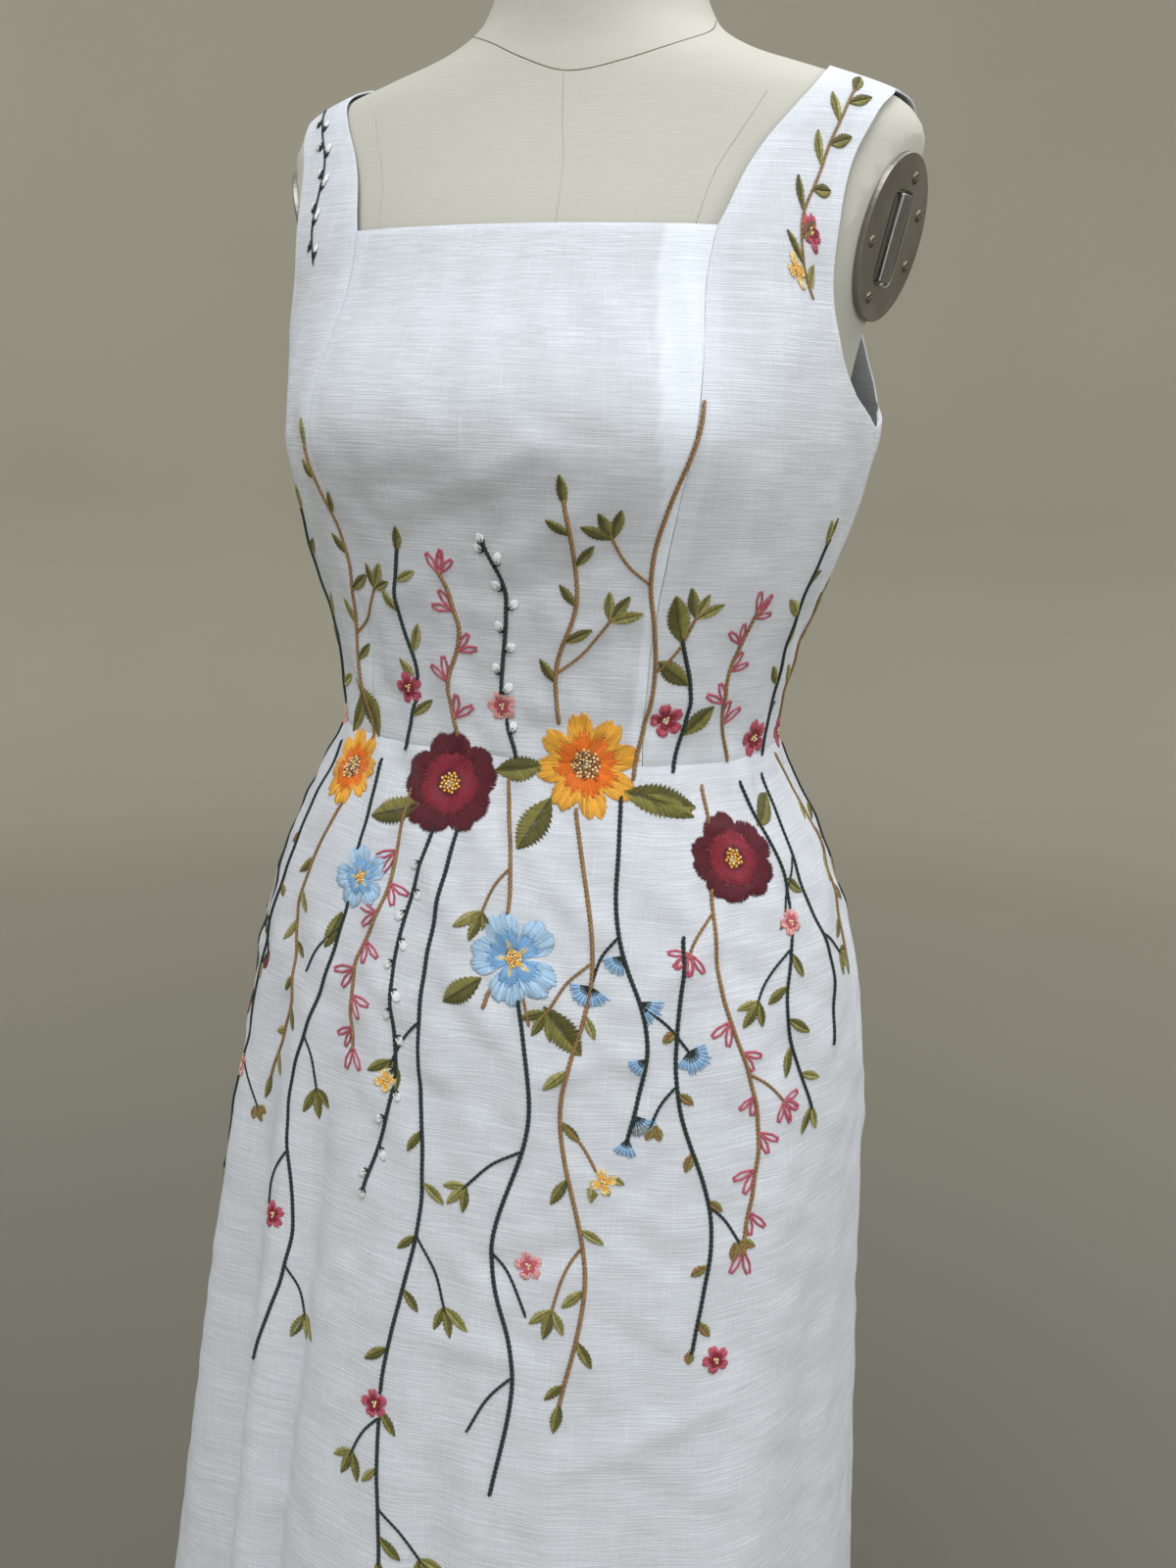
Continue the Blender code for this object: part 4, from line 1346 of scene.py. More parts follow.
class Stitchery:
    """Gathers stitches on a chart and sews them as one piece."""

    ring_fullness: float = 0.82
    ring_reach: float = 0.72
    bow_rise: float = 0.42
    bow_sink: float = 0.1
    stem_pitch: float = 0.0026
    stem_reach: float = 0.005

    def __init__(self, chart: Chart, seed: int) -> None:
        """Starts with nothing sewn.

        Args:
            chart: the surface.
            seed: what the hand's small unevenness comes from.
        """
        self.chart = chart
        self.draws = np.random.default_rng(seed)
        self.rows: list[Array] = []

    @lru_cache(maxsize=64)
    def scale(self, spot: Spot) -> tuple[float, float]:
        """Metres for each unit of the two coordinates at a spot."""
        _, across, up, _ = self.chart.frame(np.array([spot.first]), np.array([spot.second]))
        return float(np.linalg.norm(across)), float(np.linalg.norm(up))

    def spread(self, spot: Spot, x: Array, y: Array) -> tuple[Array, Array]:
        """Coordinates of places round a spot.

        Args:
            spot: the place and its way up.
            x: metres to the right of it.
            y: metres up from it.

        Returns:
            The two coordinates.
        """
        across, up = self.scale(spot)
        x, y = np.asarray(x, float), np.asarray(y, float)
        cos, sin = math.cos(spot.turn), math.sin(spot.turn)
        right, rise = x * cos - y * sin, x * sin + y * cos
        return spot.first + right / across, spot.second + rise / up

    def moved(self, spot: Spot, x: float, y: float) -> Spot:
        """The spot moved by metres to its right and up."""
        first, second = self.spread(spot, x, y)
        return replace(spot, first=float(first), second=float(second))

    def lay(
        self,
        spot: Spot,
        start: Array,
        end: Array,
        colour: Thread,
        width: float = 0.0008,
        height: float = 0.0006,
        uneven: float = 0.1,
    ) -> None:
        """Lays stitches side by side.

        Args:
            spot: the place that they are round.
            start: metres right and up of it where each stitch starts, one row a stitch.
            end: the same for where it ends.
            colour: the thread.
            width: the stitch's width.
            height: how far it stands up.
            uneven: how much the shade differs from stitch to stitch.
        """
        start, end = np.atleast_2d(start), np.atleast_2d(end)
        count = len(start)
        first = np.stack(self.spread(spot, start[:, 0], start[:, 1]), axis=1)
        last = np.stack(self.spread(spot, end[:, 0], end[:, 1]), axis=1)
        shade = 1 + self.draws.uniform(-uneven, uneven, (count, 1))
        tint = np.array(colour.value)[None] * shade
        size = np.tile((width, height), (count, 1))
        self.rows.append(np.concatenate([first, last, size, tint], axis=1))

    def knot(self, spot: Spot, x: Array, y: Array, size: float, colour: Thread) -> None:
        """Lays round knots.

        Args:
            spot: the place that they are round.
            x: metres to the right of it.
            y: metres up from it.
            size: how wide a knot is.
            colour: the thread.
        """
        place = pairs(x, y)
        half = np.array([[0, size * 0.55]])
        self.lay(spot, place - half, place + half, colour, size, size * 0.95, 0.12)

    def petal(
        self,
        spot: Spot,
        length: float,
        width: float,
        outer: Thread,
        inner: Thread,
        pointed: float = 0.3,
        notch: float = 0.0,
        base: float = 0.12,
    ) -> None:
        """Fills a petal with long and short stitches.

        Args:
            spot: the flower's middle, with the petal's tip up.
            length: middle to tip.
            width: the petal's greatest width.
            outer: the tip's thread.
            inner: the thread near the middle.
            pointed: how much shorter the petal is at its sides.
            notch: how deep the tip is notched, as a share of its length.
            base: where the petal starts, as a share of its length.
        """
        count = max(4, round(width / 0.00062))
        s = np.linspace(-1, 1, count)
        tip = length * (1 - pointed * np.abs(s) ** 2.3 - notch * np.exp(-((s / 0.2) ** 2)))
        tip = tip + self.draws.uniform(-0.0005, 0.0005, count)
        root = np.full(count, length * base)
        spread_tip = s * width / 2 * (1 - 0.3 * np.abs(s) ** 6)
        spread_root = s * width / 2 * 0.22
        mix = 0.46 + self.draws.uniform(-0.13, 0.13, count)
        middle_x = spread_root + (spread_tip - spread_root) * mix
        middle_y = root + (tip - root) * mix
        inside_end = pairs(middle_x * 1.02, middle_y + 0.0012)
        self.lay(spot, np.stack([spread_root, root], 1), inside_end, inner, 0.00085, 0.0006, 0.24)
        start = pairs(middle_x, middle_y)
        self.lay(spot, start, np.stack([spread_tip, tip], 1), outer, 0.0009, 0.0008, 0.24)

    def eye(self, spot: Spot, radius: float, colours: tuple[Thread, ...], size: float) -> None:
        """Fills a flower's middle with knots, laid in a spiral.

        Args:
            spot: the middle.
            radius: how far out the knots go.
            colours: their threads, taken in turn.
            size: how wide a knot is.
        """
        count = max(3, int(0.7 * (radius / (size / 2)) ** 2))
        index = np.arange(count)
        run = radius * np.sqrt((index + 0.5) / count)
        angle = index * 2.39996
        x, y = run * np.cos(angle), run * np.sin(angle)
        for turn, colour in enumerate(colours):
            chosen = index % len(colours) == turn
            self.knot(spot, x[chosen], y[chosen], size, colour)

    def leaf(
        self, spot: Spot, length: float, width: float, light: Thread, dark: Thread
    ) -> None:
        """Fills a leaf with satin stitches, with a vein where it is wide.

        Args:
            spot: its foot, with up along it.
            length: foot to tip.
            width: its greatest width.
            light: the thread of its right half.
            dark: the thread of its left half.
        """
        count = max(5, round(length / 0.00085))
        t = (np.arange(count) + 0.5) / count
        edge = width / 2 * np.sin(math.pi * t**0.8) ** 0.85
        edge = edge * (1 - 0.1 * (np.arange(count) % 3))
        for side, colour in ((1, light), (-1, dark)):
            start = pairs(np.zeros(count), t * length * 0.9)
            ahead = t * length * 0.9 + 0.35 * edge + 0.05 * length
            end = pairs(side * edge, ahead)
            self.lay(spot, start, end, colour, 0.001, 0.0008, 0.22)
        if width > 0.009:
            vein = np.linspace(0, 0.9 * length, 5)
            start = pairs(np.zeros(4), vein[:-1])
            end = pairs(np.zeros(4), vein[1:] + 0.0008)
            self.lay(spot, start, end, Thread.MOSS, 0.0007, 0.0011)

    def loop(self, spot: Spot, length: float, colour: Thread) -> None:
        """Lays a lazy-daisy loop.

        Args:
            spot: its foot, with up along it.
            length: foot to tip.
            colour: the thread.
        """
        turn = np.linspace(0, 2 * math.pi, 8)
        x = 0.18 * length * np.sin(turn) * np.sin(turn / 2)
        y = length * (1 - np.cos(turn)) / 2
        path = pairs(x, y)
        overlap = 0.3 * (path[1:] - path[:-1])
        self.lay(spot, path[:-1] - overlap, path[1:] + overlap, colour, 0.0014, 0.0009)

    def bud(self, spot: Spot, colour: Thread, cap: Thread, length: float) -> None:
        """Pads a bud with a cap at its foot.

        Args:
            spot: its foot, with up along it.
            colour: the bud's thread.
            cap: the cap's thread.
            length: foot to tip.
        """
        x = np.linspace(-1, 1, 6) * 0.0018
        start = pairs(x * 0.4, np.full(6, 0.001))
        end = pairs(x * 1.1, length - 500 * x**2)
        self.lay(spot, start, end, colour, 0.0014, 0.0014, 0.04)
        tips = np.array([[-0.0026, 0.0026], [-0.0012, 0.004], [0.0004, 0.0044], [0.0022, 0.003]])
        self.lay(spot, np.zeros((4, 2)), tips, cap, 0.0009, 0.0018)

    def tassel(self, spot: Spot, colours: tuple[Thread, Thread], length: float) -> None:
        """Lays a fan of threads under a dark cap.

        Args:
            spot: its foot, with up along it.
            colours: its threads, taken in turn.
            length: foot to tip.
        """
        angle = np.radians(np.linspace(-38, 38, 11))
        run = length * (1 - 0.12 * self.draws.uniform(0, 1, 11))
        end = pairs(run * np.sin(angle), run * np.cos(angle))
        for turn, colour in enumerate(colours):
            self.lay(spot, end[turn::2] * 0.15, end[turn::2], colour, 0.001, 0.0009)
        cap = pairs(np.sin(angle[::2]), np.cos(angle[::2])) * length * 0.48
        self.lay(spot, cap * 0.0, cap, Thread.PINE, 0.0011, 0.0014)

    def stem(
        self, points: Array, colour: Thread, width: float = 0.002
    ) -> list[tuple[float, Spot]]:
        """Stem stitches along a line.

        Args:
            points: coordinates that the line goes through.
            colour: the thread.
            width: a stitch's width; the line is a little wider.

        Returns:
            Spots along the line with their distances from its start, each with up along it.
        """
        line = line_through(points, 160)
        place, across, up, _ = self.chart.frame(line[:, 0], line[:, 1])
        run = lengths(place, 0)
        slant = width * 0.3
        marks = np.arange(0, run[-1] - self.stem_pitch, self.stem_pitch)

        def where(distance: Array) -> Array:
            """Coordinates at distances along the line."""
            return np.stack([np.interp(distance, run, line[:, k]) for k in range(2)], axis=1)

        start, end = where(marks), where(np.minimum(marks + self.stem_reach, run[-1]))
        unit = np.stack(
            [np.interp(marks, run, np.linalg.norm(part, axis=1)) for part in (across, up)], axis=1
        )
        ahead = (end - start) * unit
        ahead = ahead / np.linalg.norm(ahead, axis=1, keepdims=True)
        aside = pairs(ahead[:, 1], -ahead[:, 0]) * slant / unit
        shade = 1 + self.draws.uniform(-0.15, 0.15, (len(marks), 1))
        tint = np.array(colour.value)[None] * shade
        size = np.tile((width, width * 0.85), (len(marks), 1))
        self.rows.append(np.concatenate([start - aside, end + aside, size, tint], axis=1))
        turn = np.arctan2(-ahead[:, 0], ahead[:, 1])
        return [(float(m), Spot(float(p[0]), float(p[1]), float(a)))
                for m, p, a in zip(marks, start, turn)]

    def clear_under(self, flowers: list[tuple[Spot, float]]) -> None:
        """Leaves out the stitches that lie under flowers.

        Args:
            flowers: their middles, and how far out each hides what is under it.
        """
        table = np.concatenate(self.rows)
        middle = self.chart.point(
            (table[:, 0] + table[:, 2]) / 2, (table[:, 1] + table[:, 3]) / 2
        )
        kept = np.full(len(table), True)
        for spot, radius in flowers:
            centre = self.chart.point(np.array([spot.first]), np.array([spot.second]))
            kept &= np.linalg.norm(middle - centre, axis=1) > radius
        self.rows = [table[kept]]

    def sew(self, name: str, cotton: Material, bands: int = 4) -> Object:
        """Makes one piece of all the stitches laid.

        Args:
            name: the piece's name.
            cotton: its material.
            bands: the bands of faces along a stitch, 3 for short ones.

        Returns:
            The object.
        """
        table = np.concatenate(self.rows)
        template = stitch_template(bands)
        unit = np.zeros(len(template.vertices) * 3, np.float32)
        template.vertices.foreach_get("co", unit)
        unit = unit.reshape(-1, 3)
        ring = np.hypot(unit[:, 0], unit[:, 1])
        inner = ring > 0.1
        reach = np.where(inner, self.ring_reach / np.abs(unit[inner, 2]).max(), 1.0)
        t = (unit[:, 2] * reach + 1) / 2
        angle = np.arctan2(unit[:, 1], unit[:, 0])
        full = np.where(inner, np.where(ring > 0.8, 1.0, self.ring_fullness), 0.0)
        coordinates = table[:, None, 0:2] * (1 - t[:, None]) + table[:, None, 2:4] * t[:, None]
        place, _, _, normal = self.chart.frame(coordinates[..., 0], coordinates[..., 1])
        ends = self.chart.point(table[:, (0, 2)], table[:, (1, 3)])
        along = ends[:, 1] - ends[:, 0]
        size = np.linalg.norm(along, axis=1, keepdims=True)
        side = np.cross(along[:, None, :], normal)
        side = side / np.maximum(np.linalg.norm(side, axis=-1, keepdims=True), 1e-9)
        width, height = table[:, 4:5], table[:, 5:6]
        out = side * (width / 2 * full * np.cos(angle))[..., None]
        arch = np.sqrt(np.abs(np.sin(math.pi * t)))
        bow = height * (self.bow_rise * arch - self.bow_sink)
        rise = normal * (bow + height / 2 * full * np.sin(angle))[..., None]
        mesh = smooth(repeated(template, len(table)))
        mesh.vertices.foreach_set("co", (place + out + rise).astype(np.float32).ravel())
        mesh.update()
        around = np.broadcast_to(angle / (2 * math.pi), bow.shape)
        paint_uv(mesh, "thread", np.stack([around, t * size], axis=-1))
        tint = np.ones((*bow.shape, 4), np.float32)
        tint[..., :3] = table[:, None, 6:9]
        layer = mesh.attributes.new("thread_colour", "FLOAT_COLOR", "POINT")
        layer.data.foreach_set("color", tint.ravel())
        LOG.info("%s: %d stitches", name, len(table))
        return place_object(name, mesh, cotton)


@dataclass(frozen=True)
class Trail:
    """A stem, what grows along it, and what grows at its end."""

    thread: Thread
    sprig: Sprig
    # azimuth in degrees, height
    points: Rows
    start: float = 0.02
    pitch: float = 0.021
    twigs: tuple[float, ...] = ()


@dataclass(frozen=True)
class PetalRing:
    """Petals in a ring; length and width are shares of the flower's radius."""

    count: int
    # degrees: the first petal's turn, and how far each may lean out of its place
    turn: float
    sway: float
    length: float
    width: float
    outer: Thread
    inner: Thread
    pointed: float
    notch: float = 0.0
    base: float = 0.12


@dataclass(frozen=True)
class Bloom:
    """A flower's rings of petals and its middle, as a share of its radius."""

    rings: tuple[PetalRing, ...]
    eye: float
    knots: tuple[Thread, ...]
    knot_size: float
    # the rings are worked once at each of these turns, in degrees
    turns: tuple[float, ...] = (0,)


def small_bloom(petals: int, outer: Thread, inner: Thread) -> Bloom:
    """A small flower with a few petals."""
    ring = PetalRing(petals, 10, 0, 1.0, 0.92, outer, inner, 0.42, 0.08)
    return Bloom((ring,), 0.2, (Thread.STRAW,), 0.0015)


CAMELLIA = Bloom(
    (PetalRing(5, 0, 3, 1.0, 1.24, Thread.WINE, Thread.CRIMSON, 0.44, 0.07),
     PetalRing(5, 36, 3, 0.62, 0.62 * 1.24, Thread.CRIMSON, Thread.WINE, 0.44)),
    0.2, (Thread.GOLD, Thread.STRAW, Thread.GOLD), 0.0019,
)
COREOPSIS = Bloom(
    (PetalRing(8, 0, 3, 1.0, 0.66, Thread.GOLD, Thread.ORANGE, 0.46, 0.1, 0.2),
     PetalRing(8, 22, 0, 0.55, 0.2, Thread.ORANGE, Thread.CRIMSON, 0.5)),
    0.27, (Thread.STRAW, Thread.BROWN, Thread.STRAW), 0.0018,
)
PERIWINKLE = Bloom(
    (PetalRing(1, 12, 4, 1.0, 1.02, Thread.PALE_BLUE, Thread.SKY, 0.44, 0.09, 0.15),
     PetalRing(1, 12, 0, 0.45, 0.16, Thread.STRAW, Thread.GOLD, 0.6, 0.0, 0.1)),
    0.15, (Thread.GOLD, Thread.STRAW), 0.0017, (0, 72, 144, 216, 288),
)
ROSE = small_bloom(5, Thread.ROSE, Thread.CRIMSON)
BLUSH = small_bloom(5, Thread.BLUSH, Thread.ROSE)
GOLD = small_bloom(4, Thread.STRAW, Thread.GOLD)


@dataclass
class Wildflowers:
    """The embroidery round the waist, up the bodice, down the skirt and on the straps."""

    panels: dict[str, ClothPanel]
    cotton: Material

    trails: tuple[Trail, ...] = (
        Trail(Thread.PINE, Sprig.LEAVES, ((-64, 1.062), (-60, 1.11), (-64, 1.15), (-61, 1.186))),
        Trail(Thread.BROWN, Sprig.LEAVES, ((-42, 1.05), (-47, 1.11), (-43, 1.16), (-47, 1.222)),
              0.035, 0.02, (0.07,)),
        Trail(Thread.PINE, Sprig.LEAVES, ((-29, 1.056), (-25, 1.1), (-29, 1.135), (-26, 1.17))),
        Trail(Thread.BROWN, Sprig.LOOPS, ((-10, 1.058), (-14, 1.095), (-10, 1.128), (-14, 1.16))),
        Trail(Thread.PINE, Sprig.WILLOW, ((8, 1.06), (3, 1.1), (5, 1.14), (-1, 1.176)),
              0.014, 0.012),
        Trail(Thread.BROWN, Sprig.LEAVES, ((22, 1.06), (19, 1.105), (24, 1.15), (20, 1.2)),
              0.045, 0.022, (0.05,)),
        Trail(Thread.BROWN, Sprig.BARE, ((40, 1.052), (44, 1.11), (40, 1.165), (46, 1.25)),
              twigs=(0.06, 0.11)),
        Trail(Thread.PINE, Sprig.BIG_LEAVES, ((50, 1.056), (53, 1.095), (49, 1.13)), 0.02, 0.026),
        Trail(Thread.BROWN, Sprig.LOOPS, ((65, 1.06), (62, 1.1), (66, 1.145)), 0.02, 0.015),
        Trail(Thread.PINE, Sprig.LEAVES, ((80, 1.058), (84, 1.105), (79, 1.15), (82, 1.182))),
        Trail(Thread.BROWN, Sprig.LEAVES, ((97, 1.058), (94, 1.1), (98, 1.146))),
        Trail(Thread.BROWN, Sprig.LOOPS, ((-82, 1.058), (-79, 1.1), (-83, 1.14))),
        Trail(Thread.PINE, Sprig.LEAVES, ((-101, 1.058), (-98, 1.096), (-102, 1.13))),
        Trail(Thread.PINE, Sprig.LEAVES, ((116, 1.058), (113, 1.09), (117, 1.122))),
        Trail(Thread.PINE, Sprig.RED_TASSELS, ((-70, 1.056), (-73, 0.99), (-67, 0.93),
              (-71, 0.868)), 0.1, 0.03, (0.09, 0.13)),
        Trail(Thread.PINE, Sprig.BERRIES, ((-60, 1.05), (-57, 0.985), (-62, 0.905), (-58, 0.83),
              (-61, 0.77)), 0.06, 0.03, (0.12, 0.21)),
        Trail(Thread.BROWN, Sprig.LEAVES, ((-44, 1.03), (-49, 0.96), (-44, 0.9), (-48, 0.85)),
              0.05, 0.017),
        Trail(Thread.PINE, Sprig.BARE, ((-36, 1.05), (-33, 0.96), (-38, 0.86), (-33, 0.77),
              (-36, 0.69)), twigs=(0.1, 0.17, 0.24, 0.31)),
        Trail(Thread.BROWN, Sprig.LOOPS, ((-25, 1.05), (-22, 0.99), (-27, 0.93), (-24, 0.89)),
              0.05, 0.019),
        Trail(Thread.PINE, Sprig.WILLOW, ((-14, 1.02), (-17, 0.95), (-13, 0.88), (-17, 0.815)),
              0.02, 0.014),
        Trail(Thread.PINE, Sprig.LEAVES, ((-6, 1.05), (-9, 0.93), (-4, 0.82), (-8, 0.71),
              (-5, 0.61)), 0.2, 0.034, (0.14, 0.26, 0.37, 0.42)),
        Trail(Thread.BROWN, Sprig.BARE, ((6, 1.05), (10, 0.985), (6, 0.93)), twigs=(0.05, 0.09)),
        Trail(Thread.PINE, Sprig.BARE, ((13, 0.945), (17, 0.88), (11, 0.8), (16, 0.73),
              (13, 0.665)), twigs=(0.09, 0.15, 0.22)),
        Trail(Thread.BROWN, Sprig.LEAVES, ((25, 1.045), (29, 0.96), (23, 0.88), (28, 0.79),
              (24, 0.72)), 0.12, 0.03, (0.09, 0.18, 0.25)),
        Trail(Thread.PINE, Sprig.BLUE_TASSELS, ((37, 1.05), (34, 0.985), (39, 0.92),
              (35, 0.865)), 0.09, 0.028, (0.08, 0.12)),
        Trail(Thread.PINE, Sprig.BERRIES, ((47, 0.975), (44, 0.9), (49, 0.82), (45, 0.75)),
              0.05, 0.032, (0.08, 0.15)),
        Trail(Thread.BROWN, Sprig.LOOPS, ((57, 1.05), (53, 0.96), (58, 0.87), (54, 0.8)),
              0.13, 0.022, (0.07, 0.16)),
        Trail(Thread.PINE, Sprig.LEAVES, ((67, 1.05), (71, 0.99), (66, 0.925), (70, 0.87)),
              0.06, 0.019, (0.1,)),
        Trail(Thread.PINE, Sprig.BARE, ((78, 1.05), (76, 1.0), (80, 0.94), (77, 0.9)),
              twigs=(0.05, 0.1)),
        Trail(Thread.BROWN, Sprig.LEAVES, ((90, 1.056), (93, 1.0), (89, 0.94)), 0.03, 0.018),
        Trail(Thread.PINE, Sprig.LEAVES, ((104, 1.056), (101, 0.99), (105, 0.925)), 0.04, 0.02),
        Trail(Thread.PINE, Sprig.LEAVES, ((-88, 1.056), (-91, 0.99), (-86, 0.92), (-90, 0.86)),
              0.04, 0.019, (0.09,)),
        Trail(Thread.BROWN, Sprig.BERRIES, ((-106, 1.056), (-103, 0.99), (-107, 0.93)),
              0.03, 0.025),
    )
    # azimuth, height, radius, kind
    flowers: tuple[tuple[float, float, float, Bloom], ...] = (
        (-12, 1.043, 0.03, CAMELLIA), (60, 1.012, 0.0265, CAMELLIA),
        (28, 1.06, 0.03, COREOPSIS), (-47, 1.04, 0.026, COREOPSIS),
        (12, 0.958, 0.0275, PERIWINKLE), (-31, 0.985, 0.02, PERIWINKLE),
    )
    blossoms: tuple[tuple[float, float, float, Bloom], ...] = (
        (-28, 1.092, 0.0098, ROSE), (3, 1.088, 0.009, BLUSH),
        (48, 1.085, 0.01, ROSE), (76, 1.07, 0.0115, ROSE),
        (-66, 1.066, 0.0105, BLUSH), (70, 0.975, 0.0085, BLUSH),
        (-37, 0.78, 0.009, ROSE), (18, 0.795, 0.0085, BLUSH),
        (-9, 0.7, 0.009, ROSE), (31, 0.845, 0.008, GOLD),
        (49, 0.745, 0.0085, ROSE), (-58, 0.845, 0.008, BLUSH),
        (96, 1.066, 0.01, ROSE), (-84, 1.064, 0.01, BLUSH),
        (-15, 0.88, 0.0075, GOLD),
    )
    # azimuth, height, turn to the left, length
    broad_leaves: Rows = (
        (-19, 1.03, 112, 0.035), (1, 1.052, -78, 0.031), (37, 1.047, -104, 0.04),
        (19, 1.042, 150, 0.036), (-40, 1.06, 28, 0.034), (-53, 1.058, -24, 0.03),
        (68, 1.026, -58, 0.031), (53, 1.034, 62, 0.03), (19, 0.936, -140, 0.034),
        (5, 0.946, 128, 0.029), (-34, 0.964, 168, 0.025),
    )
    strap_stem: float = 0.0013
    # how much of a flower's radius hides the stems under it
    cover: float = 0.86

    def grow(self, work: Stitchery, trail: Trail) -> None:
        """Works a trail with its twigs and what grows on it.

        Args:
            work: where to sew it.
            trail: the trail.
        """
        points = np.array(trail.points) * (math.pi / 180, 1)
        spots = work.stem(points, trail.thread)
        side = 1
        for wanted in trail.twigs:
            run, spot = min(spots, key=lambda pair: abs(pair[0] - wanted))
            side = -side
            self.twig(work, trail, spot, side)
        run_on = trail.start
        while run_on < spots[-1][0]:
            spot = min(spots, key=lambda pair: abs(pair[0] - run_on))[1]
            side = -side
            self.sprig(work, trail.sprig, spot.turned(side * work.draws.uniform(34, 52)), side)
            run_on += trail.pitch * work.draws.uniform(0.85, 1.15)
        self.sprig(work, trail.sprig, spots[-1][1], side)

    def twig(self, work: Stitchery, trail: Trail, spot: Spot, side: int) -> None:
        """Works a short side stem with something at its tip.

        Args:
            work: where to sew it.
            trail: the trail that it grows from.
            spot: its foot, with up along the trail.
            side: 1 for the left, -1 for the right.
        """
        reach = work.draws.uniform(0.028, 0.046)
        out = spot.turned(side * work.draws.uniform(24, 34))
        shares = ((0, 0), (side * -0.1, 0.5), (side * -0.06, 1.0))
        x, y = np.array(shares).T * reach
        line = np.stack(work.spread(out, x, y), axis=1)
        tip = work.stem(line, trail.thread, 0.0014)[-1][1]
        kind = Sprig.LEAVES if trail.sprig is Sprig.BARE else trail.sprig
        if trail.sprig is Sprig.BARE and work.draws.uniform() < 0.45:
            return
        for angle in (-38, 0, 38):
            self.sprig(work, kind, tip.turned(angle), side)

    def sprig(self, work: Stitchery, kind: Sprig, spot: Spot, side: int) -> None:
        """Works one leaf, bud, pair of loops, berry or tassel.

        Args:
            work: where to sew it.
            kind: which of them.
            spot: its foot, with up along it.
            side: 1 for the stem's left, -1 for its right.
        """
        size = work.draws.uniform(0.85, 1.15)
        foot = work.moved(spot, 0, 0.0008)
        greens = ((Thread.OLIVE, Thread.MOSS), (Thread.SAGE, Thread.OLIVE))
        if kind is Sprig.LEAVES:
            light, dark = greens[int(work.draws.uniform() < 0.35)]
            work.leaf(foot, 0.0165 * size, 0.0064 * size, light, dark)
        elif kind is Sprig.BIG_LEAVES:
            work.leaf(foot, 0.026 * size, 0.0125 * size, *greens[0])
        elif kind is Sprig.WILLOW:
            work.bud(foot, Thread.WHITE, Thread.PINE, 0.0082 * size)
        elif kind is Sprig.LOOPS:
            for angle in (-24, 22):
                work.loop(foot.turned(angle), 0.0125 * size, Thread.ROSE)
        elif kind is Sprig.BERRIES:
            berry = work.moved(foot, side * 0.001, 0.001)
            work.leaf(berry, 0.0105 * size, 0.0062, Thread.BROWN, Thread.OLIVE)
        elif kind is Sprig.BLUE_TASSELS:
            work.tassel(foot, (Thread.SKY, Thread.PALE_BLUE), 0.012 * size)
        elif kind is Sprig.RED_TASSELS:
            work.tassel(foot, (Thread.CRIMSON, Thread.WINE), 0.01 * size)

    @staticmethod
    def flower(work: Stitchery, spot: Spot, radius: float, bloom: Bloom) -> None:
        """Works a flower, ring by ring.

        Args:
            work: where to sew it.
            spot: its middle.
            radius: how far out its petals go.
            bloom: what it is like.
        """
        for turn in bloom.turns:
            for ring in bloom.rings:
                size = (radius * ring.length, radius * ring.width)
                shape = (ring.pointed, ring.notch, ring.base)
                for index in range(ring.count):
                    lean = work.draws.uniform(-ring.sway, ring.sway) if ring.sway else 0
                    place = spot.turned(turn + index * 360 / ring.count + ring.turn + lean)
                    work.petal(place, *size, ring.outer, ring.inner, *shape)
        work.eye(spot, radius * bloom.eye, bloom.knots, bloom.knot_size)

    def strap_work(self, word: str, seed: int) -> Stitchery:
        """The stitches of one side-front panel."""
        return Stitchery(PanelChart(self.panels[f"bodice_front_side_{word}"]), seed)

    def strap_sprays(self) -> None:
        """Works a spray on each strap."""
        sprays = (
            ("left", 5, Thread.BROWN, Sprig.LEAVES, 2, 5, 42,
             ((0.62, 0.61), (0.48, 0.7), (0.58, 0.8), (0.47, 0.92))),
            ("right", 6, Thread.PINE, Sprig.WILLOW, 1, 4, 46,
             ((0.62, 0.62), (0.52, 0.71), (0.6, 0.81), (0.5, 0.94))),
        )
        for word, seed, thread, kind, first, step, lean, points in sprays:
            work = self.strap_work(word, seed)
            spots = work.stem(np.array(points), thread, self.strap_stem)
            for index, (_, spot) in enumerate(spots[first:-1:step]):
                side = 1 if index % 2 else -1
                self.sprig(work, kind, spot.turned(side * lean), side)
            if kind is Sprig.LEAVES:
                self.sprig(work, kind, spots[-1][1], 1)
                self.flower(work, work.moved(spots[16][1], 0.008, 0), 0.0085, ROSE)
                self.flower(work, work.moved(spots[5][1], -0.008, 0), 0.008, GOLD)
            work.sew(f"embroidery_strap_{word}", self.cotton)

